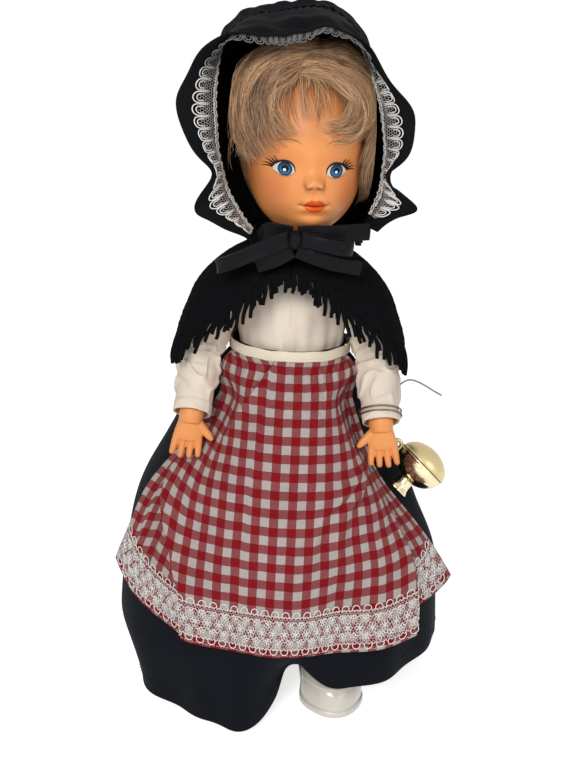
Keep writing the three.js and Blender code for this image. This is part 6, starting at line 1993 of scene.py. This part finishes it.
def shoe_mesh(side):
    upper, upper_faces, _ = surface(
        lambda u, v: shoe_upper(u, 1 - v), SHOE_COLUMNS, UPPER_ROWS, closed=True)
    sole, sole_faces, _ = surface(lambda u, v: shoe_sole(u, 1 - v), SHOE_COLUMNS, SOLE_ROWS, closed=True)
    rim = [list(range(SHOE_COLUMNS))]
    base = [list(range(SOLE_ROWS * SHOE_COLUMNS, (SOLE_ROWS + 1) * SHOE_COLUMNS))[::-1]]
    points, faces = joined((upper, upper_faces + rim), (sole, sole_faces + base))
    return rotated(points, "Z", side * TOE_OUT) + (side * LEG_X, 0, 0), faces


for name, side in SIDES:
    shoe = piece(f"{name}_shoe_moulding", *shoe_mesh(side), SHOE_PLASTIC, f"{name}_leg")
    stands_for(shoe, "white_plastic", f"{name}_shoe")
print("shoe", SHOE_LENGTH, "mm long")

# %% [markdown]
# ## Wire
# A soft tarnished wire is wound twice round the left cuff; one end sticks out behind the arm, the other
# passes through the jug's ring.

# %%
CUFF_RADIUS, WIRE_RADIUS = 10.5, 0.5
JUG_CENTRE = np.array([81.0, -13.0, 145.0])
JUG_AXIS = unit(np.array([-0.68, -0.25, -0.69]))
JUG_RADIUS = 15.6
EAR_RADIUS, EAR_THICKNESS = 2.8, 1.2
EAR_CENTRE = JUG_CENTRE + unit(np.array([-0.79, 0, 0.61])) * (JUG_RADIUS + EAR_RADIUS + EAR_THICKNESS + FIT)


def wire_path():
    along = unit(WRIST - ELBOW)
    outward = unit(np.array([1.0, 0, 0]) - along * along[0])
    behind = -np.cross(along, outward)
    start = WRIST - along * 8
    radius = CUFF_RADIUS + 2.2 * FIT + WIRE_RADIUS
    turns = np.linspace(0, 1, 57)[:, None]
    angle = turns * 4 * math.pi + math.pi / 2
    wound = start + along * turns * 5.2 + (outward * np.cos(angle) + behind * np.sin(angle)) * radius
    free = [(91, 3, 183), (72, 8, 190), start - along * 9 + behind * (CUFF_RADIUS + 6) + outward * 6]
    pin = [EAR_CENTRE + np.array(step) for step in ((-9, 12, 7), (-1.5, 9, 1), (0, 4, 0), (0, -4, 0))]
    return spline(np.concatenate([free, wound, pin]), 420)


wire_line = wire_path()
wire_mesh = tubes(wire_line[None], WIRE_RADIUS, 10, (0.31, 0.2, 0.93))
wire = piece("wrist_wire_metal", *wire_mesh, WIRE, "left_arm")
stands_for(wire, "wire", "wrist_wire")
print("wire", round(float(distances(wire_line)[-1])), "mm long")

# %% [markdown]
# ## Jug
# The jug is pressed from thin brass in two halves that meet at a seam round the belly: a matt base, and a
# polished shoulder that runs into a narrow neck with a flared, slightly faceted lip. The shoulder's paler
# brass is a painted highlight. Both are turned profiles.

# %%
JUG_BASE_HEIGHT, JUG_NECK, JUG_LIP, JUG_LENGTH, JUG_WALL = 11.0, 4.6, 6.6, 21.0, 1.2


def on_jug(points):
    spin = Vector((0, 0, 1)).rotation_difference(Vector(JUG_AXIS)).to_matrix()
    return points @ np.array(spin).T + JUG_CENTRE


def turned_body(stations, columns, rows, facets=0.0):
    """A body turned about the jug's axis through (radius, height) stations, with flats near its lip."""
    stations = np.asarray(stations, float)
    steps = distances(stations)
    def shape(u, v):
        angle = TURN * u
        along = v * steps[-1]
        radius, height = (np.interp(along, steps, stations[:, i]) for i in (0, 1))
        flats = 1 - facets * smooth(height, 14, 20) * (0.5 - 0.5 * np.cos(8 * angle))
        return vec(radius * flats * np.sin(angle), -radius * flats * np.cos(angle), height)
    points, faces, _ = surface(shape, columns, rows, closed=True)
    return on_jug(points), faces


def arc(start, end, wide, high, count):
    angle = np.radians(np.linspace(start, end, count))
    return np.stack([wide * np.cos(angle), high * np.sin(angle)], -1)


rise = JUG_LENGTH * 0.62
neck_angle = math.degrees(math.acos(JUG_NECK / JUG_RADIUS))
bead = [
    (JUG_RADIUS - 0.4, 0.15), (JUG_RADIUS + 0.15, 0.25), (JUG_RADIUS + 0.45, 0.7), (JUG_RADIUS + 0.15, 1.2)]
shoulder = [
    (0.02, rise - JUG_WALL), *arc(neck_angle, 0, JUG_RADIUS - JUG_WALL, rise - JUG_WALL, 16), *bead,
    *arc(7, neck_angle, JUG_RADIUS, rise, 24), (JUG_NECK, 14.6), (JUG_NECK + 0.1, 16), (JUG_NECK + 0.6, 18),
    (JUG_LIP, JUG_LENGTH - 0.6), (JUG_LIP, JUG_LENGTH - 0.15), (JUG_LIP - 0.4, JUG_LENGTH),
    (JUG_NECK, JUG_LENGTH - 1.8), (JUG_NECK - 0.5, JUG_LENGTH - 3), (0.02, JUG_LENGTH - 3)]
base = [
    (0.02, -JUG_BASE_HEIGHT), (3.2, -JUG_BASE_HEIGHT + 0.1), *arc(-75, -7, JUG_RADIUS, JUG_BASE_HEIGHT, 24),
    *[(r, -z) for r, z in bead[::-1]], *arc(0, -75, JUG_RADIUS - JUG_WALL, JUG_BASE_HEIGHT - JUG_WALL, 16),
    (0.02, JUG_WALL - JUG_BASE_HEIGHT)]
ring_turn = np.linspace(0, TURN, 65)
ring_line = EAR_CENTRE + vec(EAR_RADIUS * np.cos(ring_turn), 0, EAR_RADIUS * np.sin(ring_turn))
jug_meshes = (
    ("jug_shoulder", turned_body(shoulder[::-1], 120, 160, 0.06), HIGHLIGHT_BRASS),
    ("jug_base", turned_body(base[::-1], 120, 120), MATT_BRASS),
    ("jug_ring", tubes(ring_line[None], EAR_THICKNESS, 14, (0, 1, 0)), MATT_BRASS))
for name, mesh, finish in jug_meshes:
    stands_for(piece(f"{name}_brass", *mesh, finish, "jug"), "brass", name)
jug_low, jug_high = JUG_CENTRE - JUG_AXIS * JUG_BASE_HEIGHT, JUG_CENTRE + JUG_AXIS * JUG_LENGTH
print("jug from", jug_low.round(1), "to", jug_high.round(1))

# %% [markdown]
# ## Size
# Last, the box of the dressed doll is printed.

# %%
low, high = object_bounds()
print("scene box in mm:", [round(x / MM, 1) for x in (*low, *high)])
